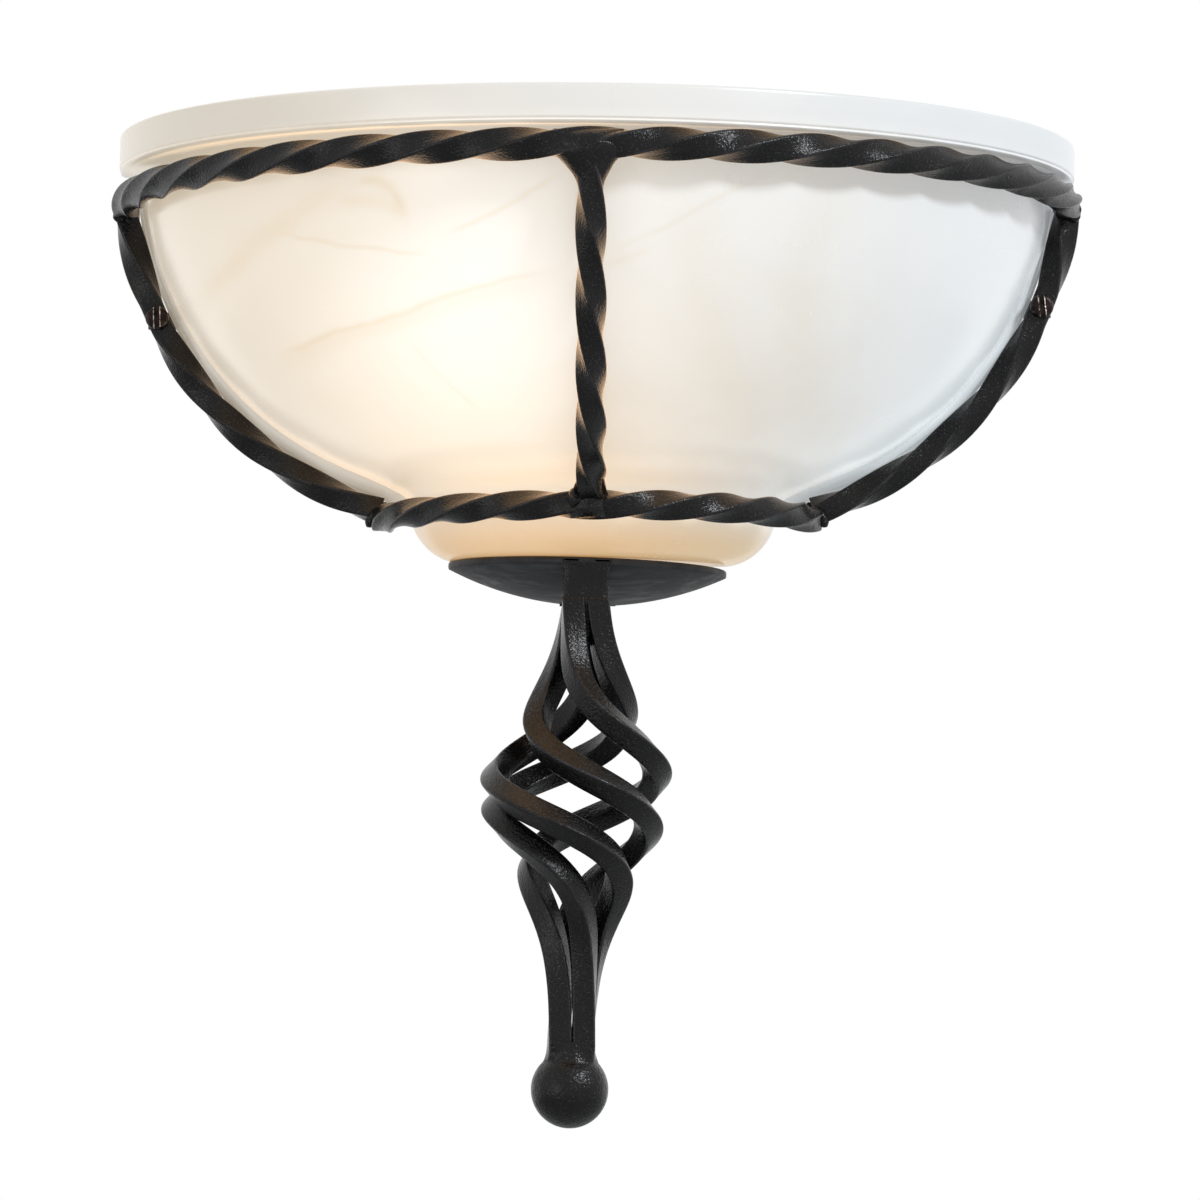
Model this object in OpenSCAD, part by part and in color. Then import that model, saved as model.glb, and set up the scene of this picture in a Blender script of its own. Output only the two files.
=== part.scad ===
// Torch sconce: a half bowl of white stone glass held against the wall in a forged frame of
// twisted square bar, over a dished plate and a basket of four twisted rods ending in a ball.
// Millimetres. The wall is the plane y = 0 and the room is on the -y side. The origin is the
// middle of the two wall bolts.

/* [Frame of twisted bar] */
// Radius of the upper hoop, to the middle of its bar
upper_hoop_r = 169.2; // [154:0.2:184]
// Radius of the lower hoop, to the middle of its bar
lower_hoop_r = 77.4; // [66:0.2:86]
// Height of the upper hoop over the wall bolts
upper_hoop_z = 36.7; // [32:0.1:42]
// Depth of the lower hoop below the wall bolts
lower_hoop_drop = 76.3; // [68:0.1:86]
// Side of the square bar of the upper hoop
hoop_bar = 8.8; // [8:0.1:9.6]
// Side of the square bar of all the other bars of the frame
bar = 8.2; // [7.6:0.1:9]
// Width of the small flat on each edge of the bar
bar_edge = 0.6; // [0.3:0.1:1.2]
// Length of the front bar over which its section makes a quarter turn
front_quarter = 26.2; // [20:0.2:34]
// Length of the side bars over which their section makes a quarter turn
side_quarter = 31.5; // [24:0.5:38]
// Distance down the front bar from the upper hoop's middle to where it first stands flat
front_flat = 15; // [8:0.5:24]
// Quarter turns round the upper hoop
upper_quarters = 20; // [16:2:24]
// Quarter turns round the lower hoop
lower_quarters = 10; // [6:2:12]
// Lean of the curved bars at their top, from upright
bar_lean_top = 8.2; // [5:0.1:12]
// Lean of the curved bars at their foot, from level
bar_lean_foot = 16.3; // [12:0.1:22]
// Pull of the curve at its top
bar_pull_top = 73.3; // [64:0.1:80]
// Pull of the curve at its foot
bar_pull_foot = 29.7; // [24:0.1:38]
// Height of the foot of the curved bars over the middle of the lower hoop
bar_foot_rise = 3.4; // [2:0.1:4.6]
// Length of each side bar left flat behind its screw head
screw_flat = 12; // [11:0.1:15]
// Sideways place of the front bar
front_bar_x = -2; // [-8:0.5:8]

/* [Glass bowl] */
// Height of the rim
rim_h = 13.6; // [12.8:0.1:18]
// How far the rim stands out past the middle of the upper hoop
rim_over = 2.5; // [1:0.1:4]
// Width of the rim at its top
rim_w = 10.6; // [9:0.1:12]
// Height of the groove under the rim's top
groove_drop = 12; // [8:0.1:12.2]
// Width of the groove
groove_w = 1.2; // [0.6:0.1:2]
// Depth of the groove
groove_d = 0.7; // [0.3:0.1:1.2]
// Wall of the glass
glass_wall = 5; // [4:0.1:6]
// Distance from the middle of the bars to the glass at the top
bowl_in_top = 6.8; // [6.6:0.1:8.4]
// Distance from the middle of the bars to the glass at the foot
bowl_in_foot = 10; // [8.6:0.1:12]
// Gap between the lower hoop and the foot of the bowl
foot_gap = 5.6; // [3:0.1:7]
// Height of the foot's widest place over the middle of the lower hoop
foot_rise = 6.3; // [5.5:0.1:9]
// Radius of the round bottom corner
foot_round = 20; // [16:0.5:22]
// Thickness of the flat flange along the back
flange_t = 3.2; // [2.5:0.1:4]
// Radius on the two top corners of the rim
rim_corner = 3; // [2:0.5:6]
// How far the bowl sits out of level, its left side up
bowl_roll = 0.7; // [0:0.05:1]
// How far the bowl sits out of level, its front down
bowl_pitch = 0.9; // [0:0.05:1.1]

/* [Dish and stem] */
// Depth of the dish's rim below the middle of the lower hoop
dish_drop = 16.1; // [14.5:0.1:20]
// Radius of the dish
dish_r = 50; // [44:0.5:54]
// Thickness of the dish
dish_t = 2.4; // [2:0.1:3.5]
// Radius of the ball that the dish is a part of
dish_ball_r = 113; // [95:1:140]
// Sideways place of the dish
dish_x = -3.4; // [-6:0.1:6]
// Lean of the dish and stem
stem_lean = 1.9; // [0:0.05:2.5]
// Side of the square rods
rod = 8.1; // [7.4:0.1:9]
// Width of the small flat on each edge of the rods
rod_edge = 0.5; // [0.3:0.1:1]
// Length of the welded head of the stem, under the dish's rim
head_h = 14.3; // [12:0.1:20]
// Length of the rods, from the head to the neck
rod_len = 157.3; // [140:0.1:180]
// How far the rods bulge out of the bundle
bulge = 22.1; // [16:0.1:26]
// Distance from the head to the middle of the bulge
bulge_at = 69.7; // [60:0.1:80]
// Spread of the bulge
bulge_spread = 33.2; // [27:0.1:36]
// Full turns of the basket
basket_turns = 1.01; // [0.5:0.01:1.25]
// Distance from the head to the middle of the twist
twist_at = 68.7; // [58:0.1:80]
// Spread of the twist
twist_spread = 43.2; // [34:0.1:50]
// Degrees by which the bending of each rod runs ahead of an even basket, at the bulge
rod_lead = [2.7, -12.4, -18.1, 15.8]; // [-18.5:0.1:18.5]
// How far each rod is pushed out, as a share of an even basket
rod_swell = [1.06, 0.96, 1.12, 1.09]; // [0.9:0.01:1.15]
// Radius of the ball at the foot
ball_r = 13.6; // [12.5:0.1:16]
// Height of the neck over the middle of the ball
neck_h = 15; // [13:0.1:18]

/* [Wall side] */
// Thickness of the wall plate and of the strap behind the dish
plate_t = 3; // [2.6:0.1:3.4]
// Width of the middle of the wall plate
plate_w = 112; // [108:1:130]
// Height of the middle of the wall plate over the bolts
plate_up = 26; // [24:0.5:32]
// Depth of the middle of the wall plate below the bolts
plate_down = 34; // [32:0.5:40]
// Height of the arms of the wall plate
arm_h = 6; // [5:0.1:6.4]
// Distance between the two wall bolts
bolt_spacing = 88.9; // [80:0.1:92]
// Radius of the wall bolt holes
bolt_hole_r = 2.6; // [2:0.1:3.2]
// Radius of the cable hole in the wall plate
cable_hole_r = 9; // [8:0.1:10]
// Bore radius of the grommet in the cable hole
grommet_bore_r = 5; // [4:0.1:6]
// Width of the strap behind the dish
strap_w = 20; // [14:0.5:26]
// Height of the rail behind the lower hoop
rail_h = 8; // [7:0.5:10]

/* [Screws] */
// Height of the left frame screw over the wall bolts
left_screw_z = -3.6; // [-4:0.1:4]
// Height of the right frame screw over the wall bolts
right_screw_z = 0.6; // [-4:0.1:4]
// Radius of the shank of the frame screws
screw_r = 2; // [1.5:0.05:2.4]
// Radius of the head of the frame screws
screw_head_r = 4.2; // [3.6:0.05:4.5]
// Height of the head of the frame screws
screw_head_h = 2.6; // [2:0.1:3.2]
// Width of the screw slot
screw_slot = 1.3; // [0.8:0.1:1.8]

/* [Lamp] */
// Distance from the wall to the middle of the lamp
lamp_out = 42; // [40:0.5:46]
// Depth of the lamp's middle below the wall bolts
lamp_drop = 14; // [12:0.5:16]
// Sideways place of the bracket's leaf
leaf_x = 21.5; // [18:0.5:23]
// Thickness of the bracket
bracket_t = 2; // [1.5:0.1:2.5]
// Width of the bracket
bracket_w = 22; // [20:0.5:24]
// Radius of the lampholder at its mouth
holder_r = 21; // [20:0.1:24]
// Radius of the lampholder at its base
holder_base_r = 16; // [14:0.1:18]
// Length of the lampholder
holder_len = 46; // [44:0.1:50]
// Radius of the cap of the bulb
cap_r = 13.1; // [12.5:0.1:13.5]
// Length of the cap of the bulb
cap_len = 24; // [22:0.1:26]
// Radius of the bulb
bulb_r = 23.5; // [20:0.5:25]
// Length of the bulb past its cap
bulb_len = 60; // [54:0.5:62]
// Radius of the threaded tube that holds the lampholder
nipple_r = 5; // [4.5:0.1:5.5]
// Bore radius of the threaded tube
nipple_bore_r = 3.7; // [3.4:0.1:4]
// Radius of a lead with its cover
lead_r = 1.1; // [0.8:0.1:1.3]

/* [Hidden] */

fit = 0.05;                 // pieces that are welded or pressed together
clear = 0.3;                // pieces that stay free of each other
over = 1;                   // how far a cut runs past the face that it cuts

iron = "#26272b";
glass = "#efe9dd";
bronze = "#3a3026";
zinc = "#a9adb0";
porcelain = "#eeeae0";
brass = "#b9914a";
black = "#1b1b1c";
brown = "#6b3a1f";
blue = "#2f5f9c";
frosted = "#f6f3ea";

// ---- bars and where they run ----

function reach(w, edge) = w / sqrt(2) - edge / sqrt(2);
bar_reach = reach(bar, bar_edge);         // middle of a twisted bar to its edge
hoop_reach = reach(hoop_bar, bar_edge);
lower_hoop_z = -lower_hoop_drop;
side_out = plate_t + fit + bar / 2;       // middle of the side bars, out from the wall
hoop_back = side_out + bar_reach + fit;   // hoop ends stop in front of the side bars
rings_per_quarter = 6;

// Section of a square bar with small flats on its edges, counter-clockwise
function bar_section(w, edge) = let (h = w / 2, c = h - edge)
    [[h, -c], [h, c], [c, h], [-c, h], [-h, c], [-h, -c], [-c, -h], [c, -h]];

function unit(v) = v / norm(v);

// Curve of the side bars and the front bar: distance out from the middle, and height
curve_points = let (top = [upper_hoop_r, upper_hoop_z], foot = [lower_hoop_r, lower_hoop_z + bar_foot_rise])
    [top,
     top + bar_pull_top * [-sin(bar_lean_top), -cos(bar_lean_top)],
     foot + bar_pull_foot * [cos(bar_lean_foot), sin(bar_lean_foot)],
     foot];
function curve(t) = pow(1 - t, 3) * curve_points[0] + 3 * pow(1 - t, 2) * t * curve_points[1]
    + 3 * (1 - t) * t * t * curve_points[2] + t * t * t * curve_points[3];
function heading(t) = unit(curve(min(t + 0.002, 1)) - curve(max(t - 0.002, 0)));
// The same curve moved in towards the lamp by a distance
function curve_in(t, d) = let (h = heading(t)) curve(t) + d * [h[1], -h[0]];

// Share of the curve at which a falling measure crosses zero
function crossing(measure, low = 0, high = 1, steps = 24) = steps == 0 ? (low + high) / 2
    : let (mid = (low + high) / 2)
      measure(mid) > 0 ? crossing(measure, mid, high, steps - 1)
                       : crossing(measure, low, mid, steps - 1);
// Height, share of the curve, distance out and length down the bar of the left and right screw
screw_z = [left_screw_z, right_screw_z];
screw_t = [for (z = screw_z) crossing(function (t) curve(t)[1] - z)];
screw_x = [for (t = screw_t) curve(t)[0]];

// Length of the curve from its top to each of a list of shares
function step_lengths(shares) = [for (i = [0:len(shares) - 1])
    i == 0 ? norm(curve(shares[0]) - curve(0)) : norm(curve(shares[i]) - curve(shares[i - 1]))];
function running(list, i = 0, sum = 0) = i == len(list) ? []
    : concat([sum + list[i]], running(list, i + 1, sum + list[i]));
curve_steps = 48;
screw_s = [for (t = screw_t) let (n = 24) running(step_lengths([for (i = [1:n]) t * i / n]))[n - 1]];

// A bar swept along places, each [middle, first side, second side], turned by an angle at each
module swept_bar(w, edge, middles, sides_a, sides_b, turns) {
    corners = bar_section(w, edge);
    n = len(corners);
    rings = len(middles);
    points = [for (i = [0:rings - 1]) for (c = corners)
        let (ca = cos(turns[i]), sa = sin(turns[i]))
        middles[i] + (c[0] * ca - c[1] * sa) * sides_a[i] + (c[0] * sa + c[1] * ca) * sides_b[i]];
    walls = [for (i = [0:rings - 2]) for (j = [0:n - 1])
        let (a = i * n + j, b = i * n + (j + 1) % n)
        each [[a, a + n, b], [b, a + n, b + n]]];
    start = [for (j = [0:n - 1]) j];
    end = [for (j = [0:n - 1]) (rings - 1) * n + n - 1 - j];
    polyhedron(points = points, faces = concat([start], walls, [end]), convexity = 10);
}

// Half hoop in a level plane, twisted left-handed, flat side out at each end of a quarter turn
module twisted_hoop(r, z, quarters, w) {
    end_angle = 90 - asin(hoop_back / r);
    rings = quarters * rings_per_quarter;
    angles = [for (i = [0:rings]) end_angle * (2 * i / rings - 1)];
    per_quarter = 180 / quarters;
    swept_bar(w, bar_edge,
              [for (a = angles) [r * sin(a), -r * cos(a), z]],
              [for (a = angles) [sin(a), -cos(a), 0]],
              [for (a = angles) [0, 0, -1]],
              [for (a = angles) -90 * (a / per_quarter - 0.5)]);
}

// Twist of a side bar at a length from its screw, left straight behind the screw
function side_twist(d) = -90 * sign(d) * max(0, abs(d) - screw_flat / 2) / side_quarter;
function front_twist(s) = -90 * (s - front_flat) / front_quarter;

// Bar along the curve, from one share of it to another, with its middle at a place for each point
// of the curve; one side of its section faces front
module curved_bar(from, to, place, front, twist) {
    shares = [for (i = [0:curve_steps]) from + (to - from) * i / curve_steps];
    directions = [for (t = shares) unit(place(curve(t) + heading(t)) - place(curve(t)))];
    swept_bar(bar, bar_edge,
              [for (t = shares) place(curve(t))],
              [for (t = shares) front],
              [for (d = directions) cross(d, front)],
              [for (s = running(step_lengths(shares))) twist(s)]);
}

// ---- frame of twisted bar ----

module upper_hoop() {
    color(iron) twisted_hoop(upper_hoop_r, upper_hoop_z, upper_quarters, hoop_bar);
}

module lower_hoop() {
    color(iron) twisted_hoop(lower_hoop_r, lower_hoop_z, lower_quarters, bar);
}

sides = [-1, 1];                          // left and right

module side_bar(k) {
    color(iron) difference() {
        curved_bar(0, 1, function (p) [sides[k] * p[0], -side_out, p[1]], [0, -1, 0],
                   function (s) side_twist(s - screw_s[k]));
        translate([sides[k] * screw_x[k], -side_out - bar / 2 - over, screw_z[k]])
            rotate([-90, 0, 0])
                cylinder(r = screw_r + clear, h = bar + 2 * over, $fn = 48);
    }
}

module side_bar_left() { side_bar(0); }
module side_bar_right() { side_bar(1); }

// The front bar's ends stop square against the two hoops
front_bar_from = crossing(function (t) hoop_reach + fit - (curve(t) - curve(0)) * heading(t));
front_bar_to = crossing(function (t) (curve(1) - curve(t)) * heading(t) - bar_reach - fit);

module front_bar() {
    color(iron)
        curved_bar(front_bar_from, front_bar_to, function (p) [front_bar_x, -p[0], p[1]],
                   [1, 0, 0], function (s) front_twist(s));
}

// Flat rail along the wall that closes the lower hoop, behind the feet of the side bars
rail_t = side_out - bar_reach - fit;
rail_z = lower_hoop_z + bar_foot_rise;
module lower_back_rail() {
    color(iron)
        translate([-lower_hoop_r, -rail_t, rail_z - rail_h / 2])
            cube([2 * lower_hoop_r, rail_t, rail_h]);
}

// ---- dish, stem and basket ----

dish_z = lower_hoop_z - dish_drop;            // top of the dish's rim
stem_y = -(dish_r - rod);                     // the stem's front is flush with the dish's rim
dish_mid_z = sqrt(pow(dish_ball_r, 2) - pow(dish_r, 2)) - dish_t;
bundle_r = rod / sqrt(2) + fit / 2;
neck_z = -head_h - rod_len;
ball_z = neck_z - neck_h;
head_dressed = 0.8;                // how much narrower than the rods the head's top is ground
weld_over = 0.2;                   // how far welded ends stand out past the rods
weld_drop = 2.5;                   // from the rods' ends to the top of the ball's weld flare
flare_angle = 42;                  // where the weld flare meets the ball

module stem_frame() {
    translate([dish_x, 0, dish_z])
        rotate([0, stem_lean, 0])
            children();
}

module dish() {
    color(iron) stem_frame()
        intersection() {
            translate([0, 0, dish_mid_z])
                difference() {
                    sphere(r = dish_ball_r, $fn = 180);
                    sphere(r = dish_ball_r - dish_t, $fn = 180);
                }
            translate([0, 0, -dish_r])
                cylinder(r = dish_r, h = dish_r, $fn = 180);
            translate([-dish_r, -dish_r - plate_t, -dish_r])
                cube([2 * dish_r, dish_r, 2 * dish_r]);
        }
}

module dish_strap() {
    foot_z = dish_z - dish_t - dish_ball_r + sqrt(pow(dish_ball_r, 2) - pow(dish_r, 2));
    color(iron)
        translate([dish_x - strap_w / 2, -plate_t, foot_z])
            cube([strap_w, plate_t - rail_t, rail_z + rail_h / 2 - foot_z]);
}

// The welded and dressed top ends of the four rods, fitted under the dish
module stem_head() {
    top_w = 2 * rod - head_dressed;
    foot_w = 2 * rod + 3 * weld_over;
    color(iron) stem_frame()
        difference() {
            translate([0, stem_y + rod, 0])
                rotate([90, 0, 0])
                    linear_extrude(2 * rod)
                        polygon([[-top_w / 2, 0], [-foot_w / 2, -head_h],
                                 [foot_w / 2, -head_h], [top_w / 2, 0]]);
            translate([0, 0, dish_mid_z])
                sphere(r = dish_ball_r, $fn = 180);
        }
}

function bulge_share(z) = exp(-pow((z + head_h + bulge_at) / bulge_spread, 2));
function rod_r(z, k) = bundle_r + bulge * rod_swell[k] * bulge_share(z);
function tanh(x) = (exp(x) - exp(-x)) / (exp(x) + exp(-x));
function twist_share(z) = tanh((-head_h - twist_at - z) / twist_spread);
twist_first = twist_share(-head_h);
twist_last = twist_share(neck_z);
function rod_turn(z) = 360 * basket_turns
    * (twist_share(z) - twist_first) / (twist_last - twist_first);
rod_first = -135;                 // angle of the first rod in the head, seen from above
function rod_angle(z, k) = rod_first - 90 * k + rod_turn(z) + rod_lead[k] * bulge_share(z);
function rod_at(z, k) = let (a = rod_angle(z, k), r = rod_r(z, k))
    [r * cos(a), stem_y + r * sin(a), z];
rod_rings = 64;

module basket_rod(k) {
    step = rod_len / rod_rings;
    levels = [for (i = [0:rod_rings]) -head_h - step * i];
    headings = [for (i = [0:rod_rings]) i == 0 || i == rod_rings ? [0, 0, -1]
        : unit(rod_at(levels[i] - step / 24, k) - rod_at(levels[i] + step / 24, k))];
    outs = [for (i = [0:rod_rings])
        let (a = rod_angle(levels[i], k), out = [cos(a), sin(a), 0])
        unit(out - (out * headings[i]) * headings[i])];
    color(iron) stem_frame()
        swept_bar(rod, rod_edge,
                  [for (z = levels) rod_at(z, k)],
                  outs,
                  [for (i = [0:rod_rings]) cross(headings[i], outs[i])],
                  [for (z = levels) 45]);
}

module basket_rod_1() { basket_rod(0); }
module basket_rod_2() { basket_rod(1); }
module basket_rod_3() { basket_rod(2); }
module basket_rod_4() { basket_rod(3); }

// Ball with a weld flare round the square bundle of the rods
module ball_finial() {
    neck_w = 2 * rod + 2 * weld_over;
    color(iron) stem_frame()
        translate([0, stem_y, ball_z]) {
            rotate_extrude($fn = 96)
                polygon(concat([[0, neck_h - weld_drop], [rod - fit, neck_h - weld_drop]],
                               arc([0, 0], ball_r, flare_angle, -90, 40)));
            rotate([0, 0, rod_turn(neck_z)])
                translate([-neck_w / 2, -neck_w / 2, 0])
                    cube([neck_w, neck_w, neck_h]);
        }
}

// ---- glass bowl ----

rim_r = upper_hoop_r + rim_over;
// The rim's lowest point stands on the upper hoop
rim_z = upper_hoop_z + hoop_reach + fit + rim_r * norm([sin(bowl_roll), sin(bowl_pitch)]);
rim_top = rim_z + rim_h;
rim_rise = rim_r * sin(bowl_roll);                // of the rim's left end over its middle
glass_back = plate_t + clear;
foot_r = lower_hoop_r - bar_reach - foot_gap;
foot_z = lower_hoop_z + foot_rise;                // where the foot is widest
floor_z = foot_z - foot_round;
bowl_from = 0.03;                                 // share of the curve where the bowl begins
bowl_end = 0.86;                                  // and where it leaves it for the foot
bowl_points = 12;

function bowl_in(t) = bowl_in_top + (bowl_in_foot - bowl_in_top) * t;
function arc(mid, r, from, to, n) = [for (i = [0:n])
    let (a = from + (to - from) * i / n) mid + r * [cos(a), sin(a)]];
function bend(a, b, c, n) = [for (i = [1:n - 1])
    let (t = i / n) pow(1 - t, 2) * a + 2 * t * (1 - t) * b + t * t * c];

// Outside of the bowl from under the rim down to the middle of the floor
bowl_curve = [for (i = [0:bowl_points])
    let (t = bowl_from + (bowl_end - bowl_from) * i / bowl_points) curve_in(t, bowl_in(t))];
bowl_shoulder = bowl_curve[bowl_points];
foot_top = [foot_r, foot_z];
bowl_heading = unit(bowl_shoulder - bowl_curve[bowl_points - 1]);
cove_corner = let (k = (foot_r - bowl_shoulder[0]) / bowl_heading[0])
    bowl_shoulder + k * bowl_heading;
bowl_outside = concat(
    [[bowl_curve[0][0], rim_z]],
    bowl_curve,
    bend(bowl_shoulder, cove_corner, foot_top, 6),
    arc([foot_r - foot_round, foot_z], foot_round, 0, -90, 7));

function normal_in(list, i) = let (a = list[max(i - 1, 0)], b = list[min(i + 1, len(list) - 1)],
                                   h = unit(b - a)) [h[1], -h[0]];
bowl_inside = [for (i = [len(bowl_outside) - 1:-1:0])
    bowl_outside[i] + glass_wall * normal_in(bowl_outside, i)];

rim_top_round = 2;
rim_inner_cut = 1;
rim_lip = 0.3;                                    // how far the band under the groove stands back
rim_foot_round = max(0.2, rim_h - groove_drop - groove_w / 2);
rim_profile = concat(
    [[rim_r - rim_w, rim_top - rim_inner_cut], [rim_r - rim_w + rim_inner_cut, rim_top]],
    arc([rim_r - rim_top_round, rim_top - rim_top_round], rim_top_round, 90, 0, 3),
    [[rim_r, rim_top - groove_drop + groove_w / 2], [rim_r - groove_d, rim_top - groove_drop]],
    arc([rim_r - rim_lip - rim_foot_round, rim_z + rim_foot_round], rim_foot_round, 0, -90, 3));
bowl_profile = concat(
    rim_profile,
    bowl_outside,
    [[0, floor_z], [0, floor_z + glass_wall]],
    bowl_inside);

flange_from = 0.04;                               // share of the curve where the flange begins
flange_to = 0.97;
module bowl_flange(side) {
    n = 16;
    shares = [for (i = [0:n]) flange_from + (flange_to - flange_from) * i / n];
    translate([0, -glass_back, 0])
        rotate([90, 0, 0])
            linear_extrude(flange_t)
                polygon(concat(
                    [for (t = shares) let (p = curve_in(t, bar_reach + clear)) [side * p[0], p[1]]],
                    [for (i = [n:-1:0])
                        let (p = curve_in(shares[i], bowl_in(shares[i]) + glass_wall / 2))
                        [side * p[0], p[1]]]));
}

module glass_bowl() {
    color(glass) intersection() {
        union() {
            difference() {
                translate([0, 0, rim_z])
                    rotate([bowl_pitch, bowl_roll, 0])
                        translate([0, 0, -rim_z])
                            rotate_extrude($fn = 180) polygon(bowl_profile);
                translate([-2 * rim_r, -glass_back, -2 * rim_r])
                    cube([4 * rim_r, 2 * rim_r, 4 * rim_r]);
            }
            for (side = sides) bowl_flange(side);
        }
        // Outline that rounds the rim's two top corners at the wall
        rotate([90, 0, 0])
            linear_extrude(rim_r + over)
                polygon(concat(
                    [[-rim_r - over, floor_z - 2 * over], [rim_r + over, floor_z - 2 * over]],
                    arc([rim_r - rim_corner, rim_top - rim_rise - rim_corner], rim_corner, 0, 90, 8),
                    arc([-rim_r + rim_corner, rim_top + rim_rise - rim_corner], rim_corner, 90, 180,
                        8)));
    }
}

// ---- screws that hold the frame ----

screw_round = 1.6;                 // radius on the edge of the head
screw_turns = [0, -10];            // how each slot stands, from upright

module frame_screw(k) {
    color(bronze)
        translate([sides[k] * screw_x[k], -side_out - bar / 2, screw_z[k]])
            rotate([90, 0, 0])
                difference() {
                    rotate_extrude($fn = 64)
                        polygon(concat(
                            [[0, -bar - plate_t + clear], [screw_r, -bar - plate_t + clear],
                             [screw_r, 0], [screw_head_r, 0]],
                            arc([screw_head_r - screw_round, screw_head_h - screw_round],
                                screw_round, 0, 90, 6),
                            [[0, screw_head_h]]));
                    rotate([0, 0, screw_turns[k]])
                        translate([-screw_slot / 2, -screw_head_r - over, screw_head_h / 2])
                            cube([screw_slot, 2 * screw_head_r + 2 * over, screw_head_h]);
                }
}

module frame_screw_left() { frame_screw(0); }
module frame_screw_right() { frame_screw(1); }

// ---- wall plate and lamp ----

grommet_at = [-18, 0];
grommet_lip = 2;
earth_at = [-44, -20];
arm_past = 3.8;                     // how far an arm runs past its screw
bracket_foot = 17;                 // length of the bracket's foot along the wall plate
bracket_screw_x = leaf_x + 11;
bracket_screw_rows = [-6, 6];      // heights of the two screws from the lamp's middle

module slab(low, high, t) {
    translate([low[0], -t, low[1]])
        cube([high[0] - low[0], t, high[1] - low[1]]);
}

// Round hole through a sheet, from a distance behind its back face
module sheet_hole(at, back, t, r) {
    translate([at[0], -back + over, at[1]])
        rotate([90, 0, 0])
            cylinder(r = r, h = t + 2 * over, $fn = 48);
}

module wall_plate() {
    color(iron) difference() {
        union() {
            slab([-plate_w / 2, -plate_down], [plate_w / 2, plate_up], plate_t);
            for (k = [0, 1]) {
                arm_end = screw_x[k] + arm_past;
                slab([min(0, sides[k] * arm_end), screw_z[k] - arm_h / 2],
                     [max(0, sides[k] * arm_end), screw_z[k] + arm_h / 2], plate_t);
            }
        }
        for (k = [0, 1]) {
            sheet_hole([sides[k] * bolt_spacing / 2, 0], 0, plate_t, bolt_hole_r);
            sheet_hole([sides[k] * screw_x[k], screw_z[k]], 0, plate_t, screw_r + fit);
        }
        sheet_hole(grommet_at, 0, plate_t, cable_hole_r);
        sheet_hole(earth_at, 0, plate_t, screw_r + fit);
        for (row = bracket_screw_rows)
            sheet_hole([bracket_screw_x, row - lamp_drop], 0, plate_t, screw_r + fit);
    }
}

module holder_bracket() {
    lamp_z = -lamp_drop;
    color(zinc) difference() {
        union() {
            translate([leaf_x, -plate_t - bracket_t, lamp_z - bracket_w / 2])
                cube([bracket_foot, bracket_t, bracket_w]);
            translate([leaf_x, -lamp_out, lamp_z - bracket_w / 2])
                cube([bracket_t, lamp_out - plate_t, bracket_w]);
            translate([leaf_x, -lamp_out, lamp_z])
                rotate([0, 90, 0])
                    cylinder(r = bracket_w / 2, h = bracket_t, $fn = 64);
        }
        translate([leaf_x - over, -lamp_out, lamp_z])
            rotate([0, 90, 0])
                cylinder(r = nipple_r + fit, h = bracket_t + 2 * over, $fn = 48);
        for (row = bracket_screw_rows)
            sheet_hole([bracket_screw_x, lamp_z + row], plate_t, bracket_t, screw_r + fit);
    }
}

pan_head_r = 3.4;
pan_head_h = 2;
pan_slot = 1;

// Pan-head machine screw standing on a face at a distance from the wall
module pan_screw(x, z, seat, shank) {
    translate([x, -seat, z])
        rotate([90, 0, 0])
            difference() {
                union() {
                    translate([0, 0, -shank])
                        cylinder(r = screw_r, h = shank, $fn = 48);
                    cylinder(r = pan_head_r, h = pan_head_h, $fn = 48);
                }
                translate([-pan_slot / 2, -pan_head_r - over, pan_head_h / 2])
                    cube([pan_slot, 2 * pan_head_r + 2 * over, pan_head_h]);
            }
}

module bracket_screws() {
    color(zinc)
        for (row = bracket_screw_rows)
            pan_screw(bracket_screw_x, row - lamp_drop, plate_t + bracket_t,
                      plate_t + bracket_t - clear);
}

module earth_screw() {
    color(brass) pan_screw(earth_at[0], earth_at[1], plate_t, plate_t - clear);
}

module cable_grommet() {
    color(black)
        translate([grommet_at[0], 0, grommet_at[1]])
            rotate([90, 0, 0])
                difference() {
                    union() {
                        cylinder(r = cable_hole_r - fit, h = plate_t, $fn = 64);
                        translate([0, 0, plate_t])
                            cylinder(r = cable_hole_r + grommet_lip, h = grommet_lip, $fn = 64);
                    }
                    translate([0, 0, -over])
                        cylinder(r = grommet_bore_r, h = plate_t + grommet_lip + 2 * over, $fn = 64);
                }
}

// Lamp frame: +z of the children runs along the lamp towards -x, from the bracket's leaf
module lamp_frame() {
    translate([leaf_x, -lamp_out, -lamp_drop])
        rotate([0, -90, 0])
            children();
}

holder_floor = 12;                 // thickness of the lampholder's base
holder_step = 8;                   // where the lampholder begins to widen
holder_shoulder = 16;              // and where it is nearly full width
holder_round = 1.5;                // bevel on its mouth
shell_wall = 0.5;
shell_len = 26;
shell_floor = 1;
shell_hole_r = 8;                  // clear hole round the centre contact
shell_r = cap_r + clear;
cap_from = holder_floor + 6;       // tip of the bulb's contact
cap_base = cap_from + 3;
lead_way = 9.5;                    // of the two ways for the leads, from the lamp's middle

module lead_ways(h) {
    for (side = sides)
        translate([side * lead_way, 0, -over])
            cylinder(r = lead_r + clear, h = h + 2 * over, $fn = 32);
}

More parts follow.
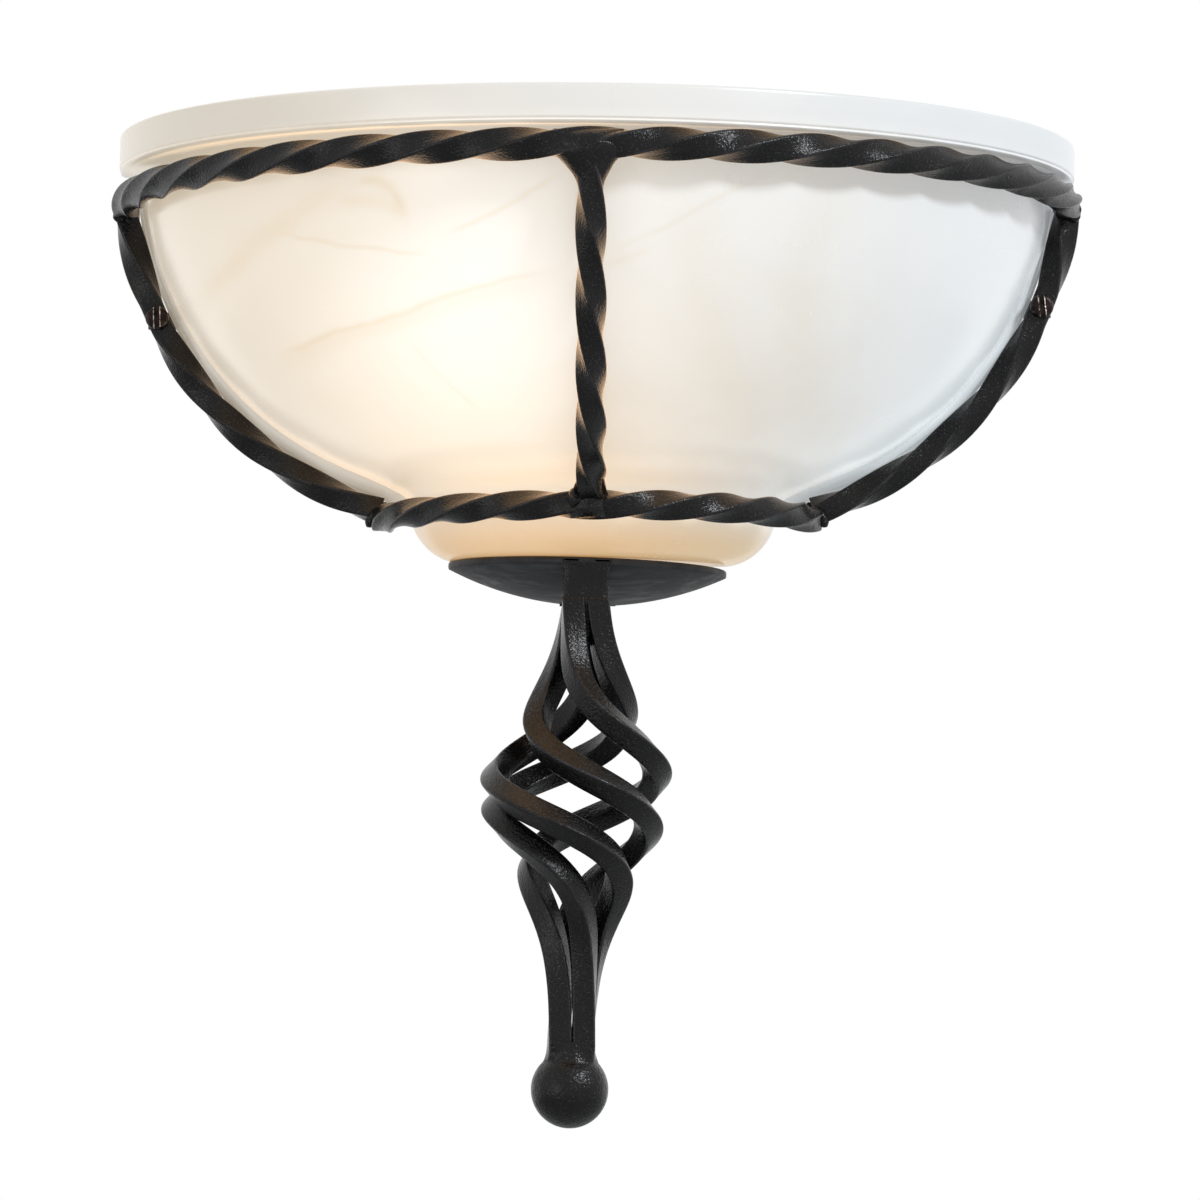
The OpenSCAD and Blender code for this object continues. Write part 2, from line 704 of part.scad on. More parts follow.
module lampholder() {
    bore_r = shell_r + shell_wall + fit;
    color(porcelain) lamp_frame()
        difference() {
            rotate_extrude($fn = 96)
                polygon([[nipple_r + fit, 0], [holder_base_r, 0], [holder_base_r, holder_step],
                         [holder_r - 1, holder_shoulder], [holder_r, holder_shoulder + 3],
                         [holder_r, holder_len - holder_round],
                         [holder_r - holder_round, holder_len], [bore_r, holder_len],
                         [bore_r, holder_floor], [nipple_r + fit, holder_floor]]);
            lead_ways(holder_floor);
        }
}

module thread_shell() {
    color(brass) lamp_frame()
        translate([0, 0, holder_floor])
            difference() {
                cylinder(r = shell_r + shell_wall, h = shell_len, $fn = 96);
                translate([0, 0, shell_floor])
                    cylinder(r = shell_r, h = shell_len, $fn = 96);
                translate([0, 0, -over])
                    cylinder(r = shell_hole_r, h = shell_floor + 2 * over, $fn = 64);
                lead_ways(shell_floor);
            }
}

contact_sunk = 1;                  // of the centre contact's foot, below the base's floor
contact_foot_h = 1.6;
contact_post_r = 3;

module centre_contact() {
    post_h = cap_from - holder_floor + contact_sunk - contact_foot_h - clear;
    color(brass) lamp_frame()
        translate([0, 0, holder_floor - contact_sunk]) {
            cylinder(r = nipple_r - clear, h = contact_foot_h, $fn = 48);
            translate([0, 0, contact_foot_h])
                cylinder(r = contact_post_r, h = post_h, $fn = 48);
        }
}

nipple_len = 20;
nipple_in = 9;                     // how far the tube runs into the lampholder
nut_h = 4;
nut_r = 8;

module nipple() {
    color(brass) lamp_frame()
        translate([0, 0, nipple_in - nipple_len])
            difference() {
                cylinder(r = nipple_r, h = nipple_len, $fn = 64);
                translate([0, 0, -over])
                    cylinder(r = nipple_bore_r, h = nipple_len + 2 * over, $fn = 64);
            }
}

module nipple_nut() {
    color(brass) lamp_frame()
        translate([0, 0, -bracket_t - nut_h])
            difference() {
                cylinder(r = nut_r, h = nut_h, $fn = 6);
                translate([0, 0, -over])
                    cylinder(r = nipple_r + fit, h = nut_h + 2 * over, $fn = 64);
            }
}

terminal_low = [2, 12];            // lower left corner of the terminal block on the wall plate
terminal_size = [26, 13, 11];      // width, height and depth
terminal_apart = 12;               // between its two ways
terminal_way_r = 2;
clamp_r = 2.2;                     // of the hole for a clamping screw
clamp_deep = 3;
clamp_h = 2.4;
clamp_slot = 0.8;
terminal_x = [for (side = sides) terminal_low[0] + terminal_size[0] / 2 + side * terminal_apart / 2];
terminal_front = plate_t + terminal_size[2];
terminal_mid_z = terminal_low[1] + terminal_size[1] / 2;

module terminal_block() {
    color(porcelain) difference() {
        translate([terminal_low[0], -terminal_front, terminal_low[1]])
            cube([terminal_size[0], terminal_size[2], terminal_size[1]]);
        for (x = terminal_x) {
            translate([x, -plate_t - terminal_size[2] / 2, terminal_low[1] - over])
                cylinder(r = terminal_way_r, h = terminal_size[1] + 2 * over, $fn = 32);
            translate([x, -terminal_front + clamp_deep, terminal_mid_z])
                rotate([90, 0, 0])
                    cylinder(r = clamp_r, h = clamp_deep + over, $fn = 32);
        }
    }
}

module terminal_screws() {
    color(brass)
        for (x = terminal_x)
            translate([x, -terminal_front + clamp_deep, terminal_mid_z])
                rotate([90, 0, 0])
                    difference() {
                        cylinder(r = clamp_r - fit, h = clamp_h, $fn = 32);
                        translate([-clamp_slot / 2, -clamp_r - over, clamp_h - clamp_slot])
                            cube([clamp_slot, 2 * clamp_r + 2 * over, clamp_h]);
                    }
}

// ---- leads from the terminal block to the lampholder ----

lead_rings = 26;
lead_corners = 8;
lead_off = [0.31, 0.83, 0.12];     // a direction that no lead runs along
lead_in = 4;                       // how far a lead's end goes into its terminal
lead_up = [30, 34];                // pull of each lead's curve up from its terminal
lead_out = [26, 29];               // and out from the nipple
lead_apart = 1.6;                  // of each lead from the middle of the nipple

function lead_point(p, t) = pow(1 - t, 3) * p[0] + 3 * pow(1 - t, 2) * t * p[1]
    + 3 * (1 - t) * t * t * p[2] + t * t * t * p[3];

// Round lead along a smooth curve through four guide points
module lead(guide) {
    n = lead_corners;
    shares = [for (i = [0:lead_rings]) i / lead_rings];
    middles = [for (t = shares) lead_point(guide, t)];
    headings = [for (t = shares)
        unit(lead_point(guide, min(1, t + 0.01)) - lead_point(guide, max(0, t - 0.01)))];
    side_a = [for (h = headings) unit(cross(h, lead_off))];
    points = [for (i = [0:lead_rings]) for (j = [0:n - 1])
        let (a = 360 * j / n, b = cross(headings[i], side_a[i]))
        middles[i] + lead_r * (cos(a) * side_a[i] + sin(a) * b)];
    walls = [for (i = [0:lead_rings - 1]) for (j = [0:n - 1])
        let (a = i * n + j, b = i * n + (j + 1) % n)
        each [[a, a + n, b], [b, a + n, b + n]]];
    start = [for (j = [0:n - 1]) j];
    end = [for (j = [0:n - 1]) lead_rings * n + n - 1 - j];
    polyhedron(points = points, faces = concat([start], walls, [end]), convexity = 10);
}

module terminal_lead(k) {
    from = [terminal_x[k], -plate_t - terminal_size[2] / 2,
            terminal_low[1] + terminal_size[1] - lead_in];
    to = [leaf_x - nipple_in + nipple_len - 3, -lamp_out - sides[k] * lead_apart, -lamp_drop];
    lead([from, from + [0, 0, lead_up[k]], to + [lead_out[k], 0, 0], to]);
}

module lead_live() { color(brown) terminal_lead(0); }
module lead_neutral() { color(blue) terminal_lead(1); }

// ---- bulb ----

bulb_from = cap_base + cap_len;
bulb_mid = bulb_from + bulb_len - bulb_r;
cap_wall = 0.35;
cap_bevel = [4.6, 3];              // width and height of the bevel at the cap's tip
cap_floor = 4;
bulb_sunk = 6;                     // how far the bulb's neck goes into its cap
bulb_neck = 14;                    // length over which the neck begins to swell
bulb_join = 30;                    // degrees under the widest place where the neck joins the ball

module bulb_glass() {
    inside_r = cap_r - cap_wall - clear;
    lip_r = cap_r + cap_wall;
    join = bulb_r * [cos(bulb_join), -sin(bulb_join)] + [0, bulb_mid];
    color(frosted) lamp_frame()
        rotate_extrude($fn = 96)
            polygon(concat(
                [[0, bulb_from - bulb_sunk], [inside_r, bulb_from - bulb_sunk],
                 [inside_r, bulb_from], [lip_r, bulb_from + fit]],
                bend([lip_r, bulb_from + fit], [lip_r + 1.5, bulb_from + bulb_neck], join, 8),
                arc([0, bulb_mid], bulb_r, -bulb_join, 90, 20)));
}

module bulb_cap() {
    color(zinc) lamp_frame()
        translate([0, 0, cap_base])
            difference() {
                rotate_extrude($fn = 96)
                    polygon([[0, 0], [cap_r - cap_bevel[0], 0], [cap_r, cap_bevel[1]],
                             [cap_r, cap_len], [0, cap_len]]);
                translate([0, 0, cap_floor])
                    cylinder(r = cap_r - cap_wall, h = cap_len, $fn = 96);
            }
}

tip_h = 1;                         // of the contact at the bulb's tip
tip_r = 4.6;

module bulb_insulator() {
    color(black) lamp_frame()
        translate([0, 0, cap_from + tip_h])
            cylinder(r1 = tip_r + clear, r2 = cap_r - cap_bevel[0] - fit,
                     h = cap_base - cap_from - tip_h, $fn = 64);
}

module bulb_contact() {
    color(brass) lamp_frame()
        translate([0, 0, cap_from])
            cylinder(r = tip_r, h = tip_h, $fn = 48);
}

upper_hoop();
lower_hoop();
side_bar_left();
side_bar_right();
front_bar();
lower_back_rail();
dish();
dish_strap();
stem_head();
basket_rod_1();
basket_rod_2();
basket_rod_3();
basket_rod_4();
ball_finial();
glass_bowl();
frame_screw_left();
frame_screw_right();
wall_plate();
holder_bracket();
bracket_screws();
nipple();
nipple_nut();
lampholder();
thread_shell();
centre_contact();
terminal_block();
terminal_screws();
earth_screw();
cable_grommet();
lead_live();
lead_neutral();
bulb_glass();
bulb_cap();
bulb_insulator();
bulb_contact();
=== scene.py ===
"""Dresses the torch sconce: a lit bowl of stone glass in a frame of twisted black bar, over a dished
plate and a basket of four twisted rods. Lengths are written in millimetres and made into metres."""

from math import asin, cos, exp, hypot, pi, radians, sin, sqrt, tanh, tau

import bmesh
import bpy
from mathutils import Matrix, Vector, noise


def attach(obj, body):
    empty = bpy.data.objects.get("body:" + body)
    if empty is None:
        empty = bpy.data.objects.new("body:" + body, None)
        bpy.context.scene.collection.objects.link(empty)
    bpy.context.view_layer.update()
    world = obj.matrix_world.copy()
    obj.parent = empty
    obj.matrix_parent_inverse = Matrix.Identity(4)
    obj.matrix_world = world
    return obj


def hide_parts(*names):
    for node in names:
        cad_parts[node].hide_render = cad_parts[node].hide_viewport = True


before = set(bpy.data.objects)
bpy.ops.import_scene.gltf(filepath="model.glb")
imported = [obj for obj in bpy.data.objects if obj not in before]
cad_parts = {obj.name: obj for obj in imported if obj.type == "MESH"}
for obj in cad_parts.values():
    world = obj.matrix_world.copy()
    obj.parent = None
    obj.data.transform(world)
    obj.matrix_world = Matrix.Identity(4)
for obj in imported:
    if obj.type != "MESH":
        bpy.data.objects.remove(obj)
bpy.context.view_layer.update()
MM = 0.001

# ---- sizes of the frame, as the solids have them ----

UPPER_HOOP_R, UPPER_HOOP_Z, HOOP_BAR = 169.2, 36.7, 8.8
LOWER_HOOP_R, LOWER_HOOP_Z, BAR = 77.4, -76.3, 8.2
UPPER_QUARTERS, LOWER_QUARTERS = 20, 10
BAR_EDGE, EDGE_ROUND = 0.6, 1.0  # small flat in the solid, and the round edge that it shows as
LEAN_TOP, LEAN_FOOT = radians(8.2), radians(16.3)
PULL_TOP, PULL_FOOT = 73.3, 29.7
FOOT_RISE = 3.4  # foot of the curved bars over the lower hoop
FRONT_QUARTER, SIDE_QUARTER, FRONT_FLAT, SCREW_FLAT = 26.2, 31.5, 15, 12
FRONT_BAR_X = -2
PLATE_T, FIT, CLEAR = 3, 0.05, 0.3
SCREW_Z = (-3.6, 0.6)  # left and right frame screw
SCREW_TURNS = (radians(1), radians(6))  # how far each slot leans to the left
SCREW_R, SCREW_HEAD_R, SCREW_HEAD_H, SCREW_ROUND = 2, 4.2, 2.6, 1.6

DISH_X, DISH_Z, DISH_R, DISH_T, DISH_BALL_R = -3.4, LOWER_HOOP_Z - 16.1, 50, 2.4, 113
STEM_LEAN = radians(1.9)
ROD, ROD_ROUND, HEAD_H, ROD_LEN = 8.1, 0.9, 14.3, 157.3
BULGE, BULGE_AT, BULGE_SPREAD = 22.1, 69.7, 33.2
BASKET_TURNS, TWIST_AT, TWIST_SPREAD = 1.01, 68.7, 43.2
ROD_LEAD = [radians(d) for d in (2.7, -12.4, -18.1, 15.8)]
ROD_SWELL = 1.06, 0.96, 1.12, 1.09
BALL_R, NECK_H = 13.6, 15

RIM_H, RIM_OVER, RIM_W, RIM_CORNER = 13.6, 2.5, 10.6, 3
GROOVE_DROP, GROOVE_W, GROOVE_D = 12, 1.2, 0.7
GLASS_WALL, BOWL_IN_TOP, BOWL_IN_FOOT = 5, 6.8, 10
BOWL_START, BOWL_END = 0.03, 0.86  # shares of the curve
FOOT_GAP, GLASS_FOOT_RISE, FOOT_ROUND, FOOT_SINK = 5.6, 6.3, 20, 1.8
FLANGE_T = 3.2
BOWL_ROLL, BOWL_PITCH = radians(0.7), radians(0.9)

BAR_REACH = (BAR - BAR_EDGE) / sqrt(2)
HOOP_REACH = (HOOP_BAR - BAR_EDGE) / sqrt(2)
SIDE_OUT = PLATE_T + FIT + BAR / 2
HOOP_BACK = SIDE_OUT + BAR_REACH + FIT
DISH_MID_Z = sqrt(DISH_BALL_R ** 2 - DISH_R ** 2) - DISH_T
STEM_Y = -(DISH_R - ROD)
SIDES, SIDE_WORDS = (-1, 1), ("left", "right")


# ---- helpers for meshes ----

def vec(*values):
    return Vector(values)


def waver(place, size, seed):
    """Smooth unevenness of hand work: about -1 to 1 over a length of size."""
    return noise.noise(Vector(place) / size + vec(seed * 7.31, seed * 3.17, seed * 1.73))


def new_object(name, data):
    thing = bpy.data.objects.new(name, data)
    bpy.context.collection.objects.link(thing)
    return thing


def mesh_of(name, points, faces, edge=None):
    """Object from points in millimetres, with an attribute that is 1 along its worn edges."""
    mesh = bpy.data.meshes.new(name)
    mesh.from_pydata([Vector(p) * MM for p in points], [], faces)
    if edge is not None:
        mesh.attributes.new("worn_edge", "FLOAT", "POINT").data.foreach_set("value", edge)
    mesh.update()
    work = bmesh.new()
    work.from_mesh(mesh)
    bmesh.ops.recalc_face_normals(work, faces=work.faces)
    work.to_mesh(mesh)
    work.free()
    mesh.polygons.foreach_set("use_smooth", [True] * len(mesh.polygons))
    return new_object(name, mesh)


def place_piece(thing, finish, body, *nodes, slot=None):
    """Gives a piece its finish and body, and hides the solids that it stands for."""
    thing.data.materials.append(finish)
    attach(thing, body)
    if nodes:
        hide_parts(*nodes)


def iron(thing, finish, *nodes):
    """Places a piece of the black frame."""
    place_piece(thing, finish, "frame", *nodes, slot="black_iron")


def square_section(w, edge_round, arc_steps=4, flat_steps=3, hollow=0.06):
    """Square of bar stock with round edges and faintly hollow faces: points, and 1 at each edge."""
    half = w / 2 - edge_round
    side = []  # (x, y, edge mark) of one corner and the side that follows it
    for i in range(arc_steps + 1):
        a = pi / 2 * i / arc_steps
        side.append((half + edge_round * cos(a), half + edge_round * sin(a), sin(2 * a) * 0.6 + 0.4))
    for i in range(1, flat_steps):
        t = i / flat_steps
        side.append((half - 2 * half * t, w / 2 - hollow * sin(pi * t), 0.0))
    turns = [(cos(pi / 2 * quarter), sin(pi / 2 * quarter)) for quarter in range(4)]
    return ([(x * c - y * s, x * s + y * c) for c, s in turns for x, y, mark in side],
            [mark for x, y, mark in side] * 4)


def ring_faces(rings, n, first=0):
    """Closed sweep of rings of n points each, with a flat end at each side."""
    starts = [first + i * n for i in range(rings)]
    faces = [(a + j, a + (j + 1) % n, b + (j + 1) % n, b + j)
             for a, b in zip(starts, starts[1:]) for j in range(n)]
    return faces + [tuple(first + j for j in reversed(range(n))), tuple(starts[-1] + j for j in range(n))]


def swept_bar(name, middles, sides_a, sides_b, turns, w, edge_round, seed):
    """Twisted square bar: its section laid along middles and turned by an angle at each."""
    section, section_edge = square_section(w, edge_round)
    points, edge = [], []
    for m, a, b, turn in zip(middles, sides_a, sides_b, turns):
        size = 1 - 0.012 + 0.012 * waver(m, 11, seed)
        turn += radians(2.2) * waver(m, 34, seed + 1)
        c, s = cos(turn) * size, sin(turn) * size
        for (x, y), e in zip(section, section_edge):
            points.append(m + (x * c - y * s) * a + (x * s + y * c) * b)
            edge.append(e)
    return mesh_of(name, points, ring_faces(len(middles), len(section)), edge)


def soft_lump(name, centre, half, seed, rough=0.16, steps=20):
    """Rounded lump of weld metal with an uneven skin."""
    points, around = [], 2 * steps
    for i in range(1, steps):
        v = pi * i / steps
        for j in range(around):
            u = tau * j / around
            p = vec(sin(v) * cos(u), sin(v) * sin(u), cos(v))
            swell = 1 + rough * noise.noise(p * 1.6 + vec(seed, 0, 0)) \
                + 0.4 * rough * noise.noise(p * 4.3 + vec(0, seed, 0))
            points.append(Vector(centre) + vec(p.x * half[0], p.y * half[1], p.z * half[2]) * swell)
    return mesh_of(name, points, ring_faces(steps - 1, around), [0.0] * len(points))


# ---- curves of the frame ----

def bezier(p, t):
    return (1 - t) ** 3 * p[0] + 3 * (1 - t) ** 2 * t * p[1] + 3 * (1 - t) * t * t * p[2] + t ** 3 * p[3]


CURVE_TOP = vec(UPPER_HOOP_R, UPPER_HOOP_Z)
CURVE_FOOT = vec(LOWER_HOOP_R, LOWER_HOOP_Z + FOOT_RISE)
CURVE = (CURVE_TOP,
         CURVE_TOP - PULL_TOP * vec(sin(LEAN_TOP), cos(LEAN_TOP)),
         CURVE_FOOT + PULL_FOOT * vec(cos(LEAN_FOOT), sin(LEAN_FOOT)),
         CURVE_FOOT)


def curve(t):
    return bezier(CURVE, t)


def heading(t):
    return (curve(min(t + 0.002, 1)) - curve(max(t - 0.002, 0))).normalized()


def curve_in(t, d):
    """The curve moved in towards the lamp by a distance."""
    h = heading(t)
    return curve(t) + d * vec(h.y, -h.x)


def crossing(measure, low=0.0, high=1.0):
    """Share of the curve at which a falling measure crosses zero."""
    for _ in range(24):
        mid = (low + high) / 2
        low, high = (mid, high) if measure(mid) > 0 else (low, mid)
    return (low + high) / 2


def curve_length(to, steps=60):
    return sum((curve(to * (i + 1) / steps) - curve(to * i / steps)).length for i in range(steps))


SCREW_T = [crossing(lambda t, z=z: curve(t).y - z) for z in SCREW_Z]
SCREW_S = [curve_length(t) for t in SCREW_T]
SCREW_X = [curve(t).x for t in SCREW_T]


def hoop_point(r, z, a):
    return vec(r * sin(a), -r * cos(a), z)


def twisted_hoop(name, r, z, quarters, w, seed):
    end = pi / 2 - asin(HOOP_BACK / r)
    rings = int(2 * end * r / 1.25)
    angles = [end * (2 * i / rings - 1) for i in range(rings + 1)]
    return swept_bar(name, [hoop_point(r, z, a) for a in angles],
                     [vec(sin(a), -cos(a), 0) for a in angles],
                     [vec(0, 0, -1) for a in angles],
                     [-pi / 2 * (a / (pi / quarters) - 0.5) for a in angles], w, EDGE_ROUND, seed)


def curved_bar(name, start, stop, place, front, twist, seed):
    """Bar along the curve from one share of it to another, one side of its section facing front."""
    steps = int(curve_length(1) * (stop - start) / 1.2)
    shares = [start + (stop - start) * i / steps for i in range(steps + 1)]
    middles = [place(curve(t)) for t in shares]
    ways = [(place(curve(t) + heading(t)) - place(curve(t))).normalized() for t in shares]
    run, turns = 0.0, []
    for i, m in enumerate(middles):
        run += (m - middles[i - 1]).length if i else 0.0
        turns.append(twist(run))
    return swept_bar(name, middles, [front] * len(shares), [w.cross(front) for w in ways], turns,
                     BAR, EDGE_ROUND, seed)


def side_twist(d):
    return -pi / 2 * (1 if d > 0 else -1) * max(0.0, abs(d) - SCREW_FLAT / 2) / SIDE_QUARTER


# ---- node groups for the finishes ----

def node(kind, inputs, tree=None, **settings):
    """Node of a kind, its inputs given as values or as sockets to link, in a tree or in that of a socket."""
    sockets = {key: value for key, value in inputs.items() if isinstance(value, bpy.types.NodeSocket)}
    if tree is None:
        tree = next(iter(sockets.values())).id_data
    made = tree.nodes.new("ShaderNode" + kind)
    for key, value in settings.items():
        setattr(made, key, value)
    for key, value in inputs.items():
        if key in sockets:
            tree.links.new(value, made.inputs[key])
        else:
            made.inputs[key].default_value = value
    return made


def math(operation, a, b=0.0, clamp=False):
    return node("Math", {0: a, 1: b}, operation=operation, use_clamp=clamp).outputs[0]


def times(a, b, clamp=False):
    return math("MULTIPLY", a, b, clamp)


def per_metre(size):
    """Scale of a pattern from its size in millimetres."""
    return math("DIVIDE", 1000.0, size)


def vector(operation, a, b=None, out="Vector"):
    """Vector Math of one or two vectors, or of a vector and the scale of a SCALE."""
    inputs = {0: a}
    if b is not None:
        inputs["Scale" if operation == "SCALE" else 1] = b
    return node("VectorMath", inputs, operation=operation).outputs[out]


def ramp(value, low, high, to_low=0.0, to_high=1.0):
    """Soft step from one value to another, while the first goes from low to high."""
    return node("MapRange", {0: value, 1: low, 2: high, 3: to_low, 4: to_high},
                interpolation_type="SMOOTHSTEP").outputs[0]


def mix(share, a, b, blend="MIX"):
    return node("Mix", {0: share, 6: a, 7: b}, data_type="RGBA", blend_type=blend).outputs[2]


def place_in(tree):
    return node("TexCoord", {}, tree).outputs["Object"]


def noise_in(place, scale, detail, roughness=0.5, out="Fac"):
    return node("TexNoise", {"Vector": place, "Scale": scale, "Detail": detail,
                             "Roughness": roughness}).outputs[out]


def swirl(colour):
    """Noise colour as a vector about nought."""
    return vector("SUBTRACT", colour, (0.5, 0.5, 0.5))


def bell(distance, reach):
    """1 where the distance is nought, falling away to 1/e at the reach."""
    share = math("POWER", math("DIVIDE", distance, reach), 2.0)
    return math("EXPONENT", times(share, -1.0))


def group(name, outputs, **inputs):
    """Makes a shared node group of a function that is given a tree and the inputs, and returns the outputs.

    The function's name then places the group in the tree of a material, with values for its inputs."""
    def build(fill):
        shared = bpy.data.node_groups.new(name, "ShaderNodeTree")
        for label, value in inputs.items():
            kind = "Float" if isinstance(value, float) else {3: "Vector", 4: "Color"}[len(value)]
            socket = shared.interface.new_socket(label, in_out="INPUT", socket_type="NodeSocket" + kind)
            socket.default_value = value
        for label in outputs:
            kind = "Color" if label == "Colour" else "Float"
            shared.interface.new_socket(label, in_out="OUTPUT", socket_type="NodeSocket" + kind)
        given, made = shared.nodes.new("NodeGroupInput").outputs, shared.nodes.new("NodeGroupOutput").inputs
        for label, value in zip(outputs, fill(shared, *[given[label] for label in inputs])):
            shared.links.new(value, made[label])

        def place(tree, *values):
            placed = tree.nodes.new("ShaderNodeGroup")
            placed.node_tree = shared
            for label, value in zip(inputs, values):
                placed.inputs[label].default_value = value
            return placed.outputs
        return place
    return build


@group("powder grain", ("Height", "Glint specks"), Size=1.0, Wave=0.5)
def powder_grain(tree, size, wave):
    """Fine pebbled skin of a baked powder coat: a height, and the share of specks, which lower the roughness
    and are painted as glints.
    """
    bead_scale, wave_scale, fleck_scale = 1.3, 0.16, 1.9  # each times the scale of the pebbles
    scale = per_metre(size)
    place = place_in(tree)
    pebble = noise_in(place, scale, 2.5, 0.6)
    bead = node("TexVoronoi", {"Vector": place, "Scale": times(scale, bead_scale)},
                feature="SMOOTH_F1").outputs["Distance"]
    swell = noise_in(place, times(scale, wave_scale), 2.0)
    height = math("SUBTRACT", pebble, times(bead, 0.5))
    height = math("ADD", height, times(swell, wave))
    fleck = noise_in(place, times(scale, fleck_scale), 1.0)
    return height, ramp(fleck, 0.62, 0.76)


@group("edge rub", ("Mask",), Amount=0.5, Patch=14.0)
def edge_rub(tree, amount, patch):
    """Where handling has rubbed the edges: the mesh's own edge mark, broken up by noise."""
    mark = node("Attribute", {}, tree, attribute_name="worn_edge").outputs["Fac"]
    spots = noise_in(place_in(tree), per_metre(patch), 4.0, 0.65)
    broken = times(ramp(spots, 0.40, 0.66), ramp(mark, 0.45, 1.0))
    return times(broken, amount, clamp=True),


@group("tone drift", ("Colour", "Mask"), Light=(1, 1, 1, 1), Dark=(0, 0, 0, 1), Patch=30.0)
def tone_drift(tree, light, dark, patch):
    """Slow change of tone over a surface, between two colours."""
    mask = ramp(noise_in(place_in(tree), per_metre(patch), 5.0, 0.55), 0.32, 0.68)
    return mix(mask, dark, light), mask


@group("settled dust", ("Mask",), Amount=0.3)
def settled_dust(tree, amount):
    """Thin dust that lies on faces turned up."""
    normal = node("NewGeometry", {}, tree).outputs["Normal"]
    up = node("SeparateXYZ", {0: normal}).outputs["Z"]
    spots = noise_in(place_in(tree), 160.0, 6.0, 0.7)
    lies = times(ramp(up, 0.35, 1.0), ramp(spots, 0.3, 0.75))
    return times(lies, amount),


@group("brushing", ("Height", "Mask"), Along=(1.0, 0.04, 1.0), Scale=900.0)
def brushing(tree, along, scale):
    """Long fine scratches that run along one way, as a height and a mask."""
    lines = noise_in(vector("MULTIPLY", place_in(tree), along), scale, 4.0, 0.65)
    return lines, ramp(lines, 0.42, 0.7)


@group("stone veins", ("Wisps", "Cloud"), Size=90.0, Sharp=0.06, Turn=-0.33)
def stone_veins(tree, size, sharp, turn):
    """Drifting wisps of stone glass, drawn out along one way."""
    turned = node("VectorRotate", {"Vector": place_in(tree), "Angle": turn},
                  rotation_type="Y_AXIS").outputs["Vector"]
    drawn = vector("MULTIPLY", turned, (0.42, 0.8, 1.0))
    scale = per_metre(size)
    stir = swirl(noise_in(drawn, scale, 2.0, out="Color"))
    bent = vector("ADD", drawn, vector("SCALE", stir, math("DIVIDE", 0.8, scale)))
    field = noise_in(bent, scale, 5.0, 0.52)
    ridge = math("ABSOLUTE", math("SUBTRACT", field, 0.5))
    thin = ramp(ridge, 0.0, sharp, 1.0, 0.0)
    spots = noise_in(bent, times(scale, 0.7), 1.0)
    return times(thin, ramp(spots, 0.42, 0.66)), ramp(field, 0.38, 0.66)


@group("lamp glow", ("Light",), Centre=(0, 0, 0), Reach=0.1)
def lamp_glow(tree, centre, reach):
    """Soft spot of light on the glass: full at its centre, nearly gone at twice its reach."""
    return bell(vector("DISTANCE", place_in(tree), centre, "Value"), reach),


@group("wisp", ("Mask",), Start=(0, 0, 0), End=(0.1, 0, 0), Bow=0.0, Width=1.5)
def wisp(tree, start, end, bow, width):
    """One drawn-out streak in the glass, seen from the front: from Start to End with a bow to it."""
    stir_scale, stir_metres = 28.0, 0.007
    place = place_in(tree)
    stir = swirl(noise_in(place, stir_scale, 3.0, out="Color"))
    place = vector("ADD", place, vector("SCALE", stir, stir_metres))
    off = vector("SUBTRACT", vector("MULTIPLY", place, (1.0, 0.0, 1.0)), start)
    whole = vector("SUBTRACT", end, start)
    length = vector("LENGTH", whole, out="Value")
    way = vector("NORMALIZE", whole)
    along = math("DIVIDE", vector("DOT_PRODUCT", off, way, "Value"), length)
    side = vector("CROSS_PRODUCT", way, (0.0, 1.0, 0.0))
    aside = vector("DOT_PRODUCT", off, side, "Value")
    hump = times(along, math("SUBTRACT", 1.0, along))
    line = bell(math("SUBTRACT", aside, times(hump, bow)), times(width, MM))
    ends = times(ramp(along, 0.0, 0.22), ramp(along, 1.0, 0.72))
    return times(line, ends),


# ---- finishes ----

def new_finish(name, **constants):
    """Material with one Principled shader, its constants set on its own sockets."""
    finish = bpy.data.materials.new(name)
    finish.use_nodes = True
    tree = finish.node_tree
    tree.nodes.clear()
    shader = tree.nodes.new("ShaderNodeBsdfPrincipled")
    out = tree.nodes.new("ShaderNodeOutputMaterial")
    tree.links.new(shader.outputs[0], out.inputs["Surface"])
    for key, value in constants.items():
        shader.inputs[key.replace("_", " ")].default_value = value
    return finish, tree


def rgb(r, g, b):
    """Colour written as it looks on a screen, 0 to 255, made linear."""
    linear = [v / 255 / 12.92 if v < 11 else ((v / 255 + 0.055) / 1.055) ** 2.4 for v in (r, g, b)]
    return (*linear, 1.0)


def clothe(finish, colour, rough, height, depth_mm, strength=1.0, glow=None):
    """Links the colour, the roughness, the bump and the light of a finish to its shader."""
    tree = finish.node_tree
    relief = node("Bump", {"Height": height, "Distance": depth_mm * MM, "Strength": strength})
    links = {"Base Color": colour, "Roughness": rough, "Normal": relief.outputs[0], "Emission Color": glow}
    for label, value in links.items():
        if value is not None:
            tree.links.new(value, tree.nodes["Principled BSDF"].inputs[label])
    return finish


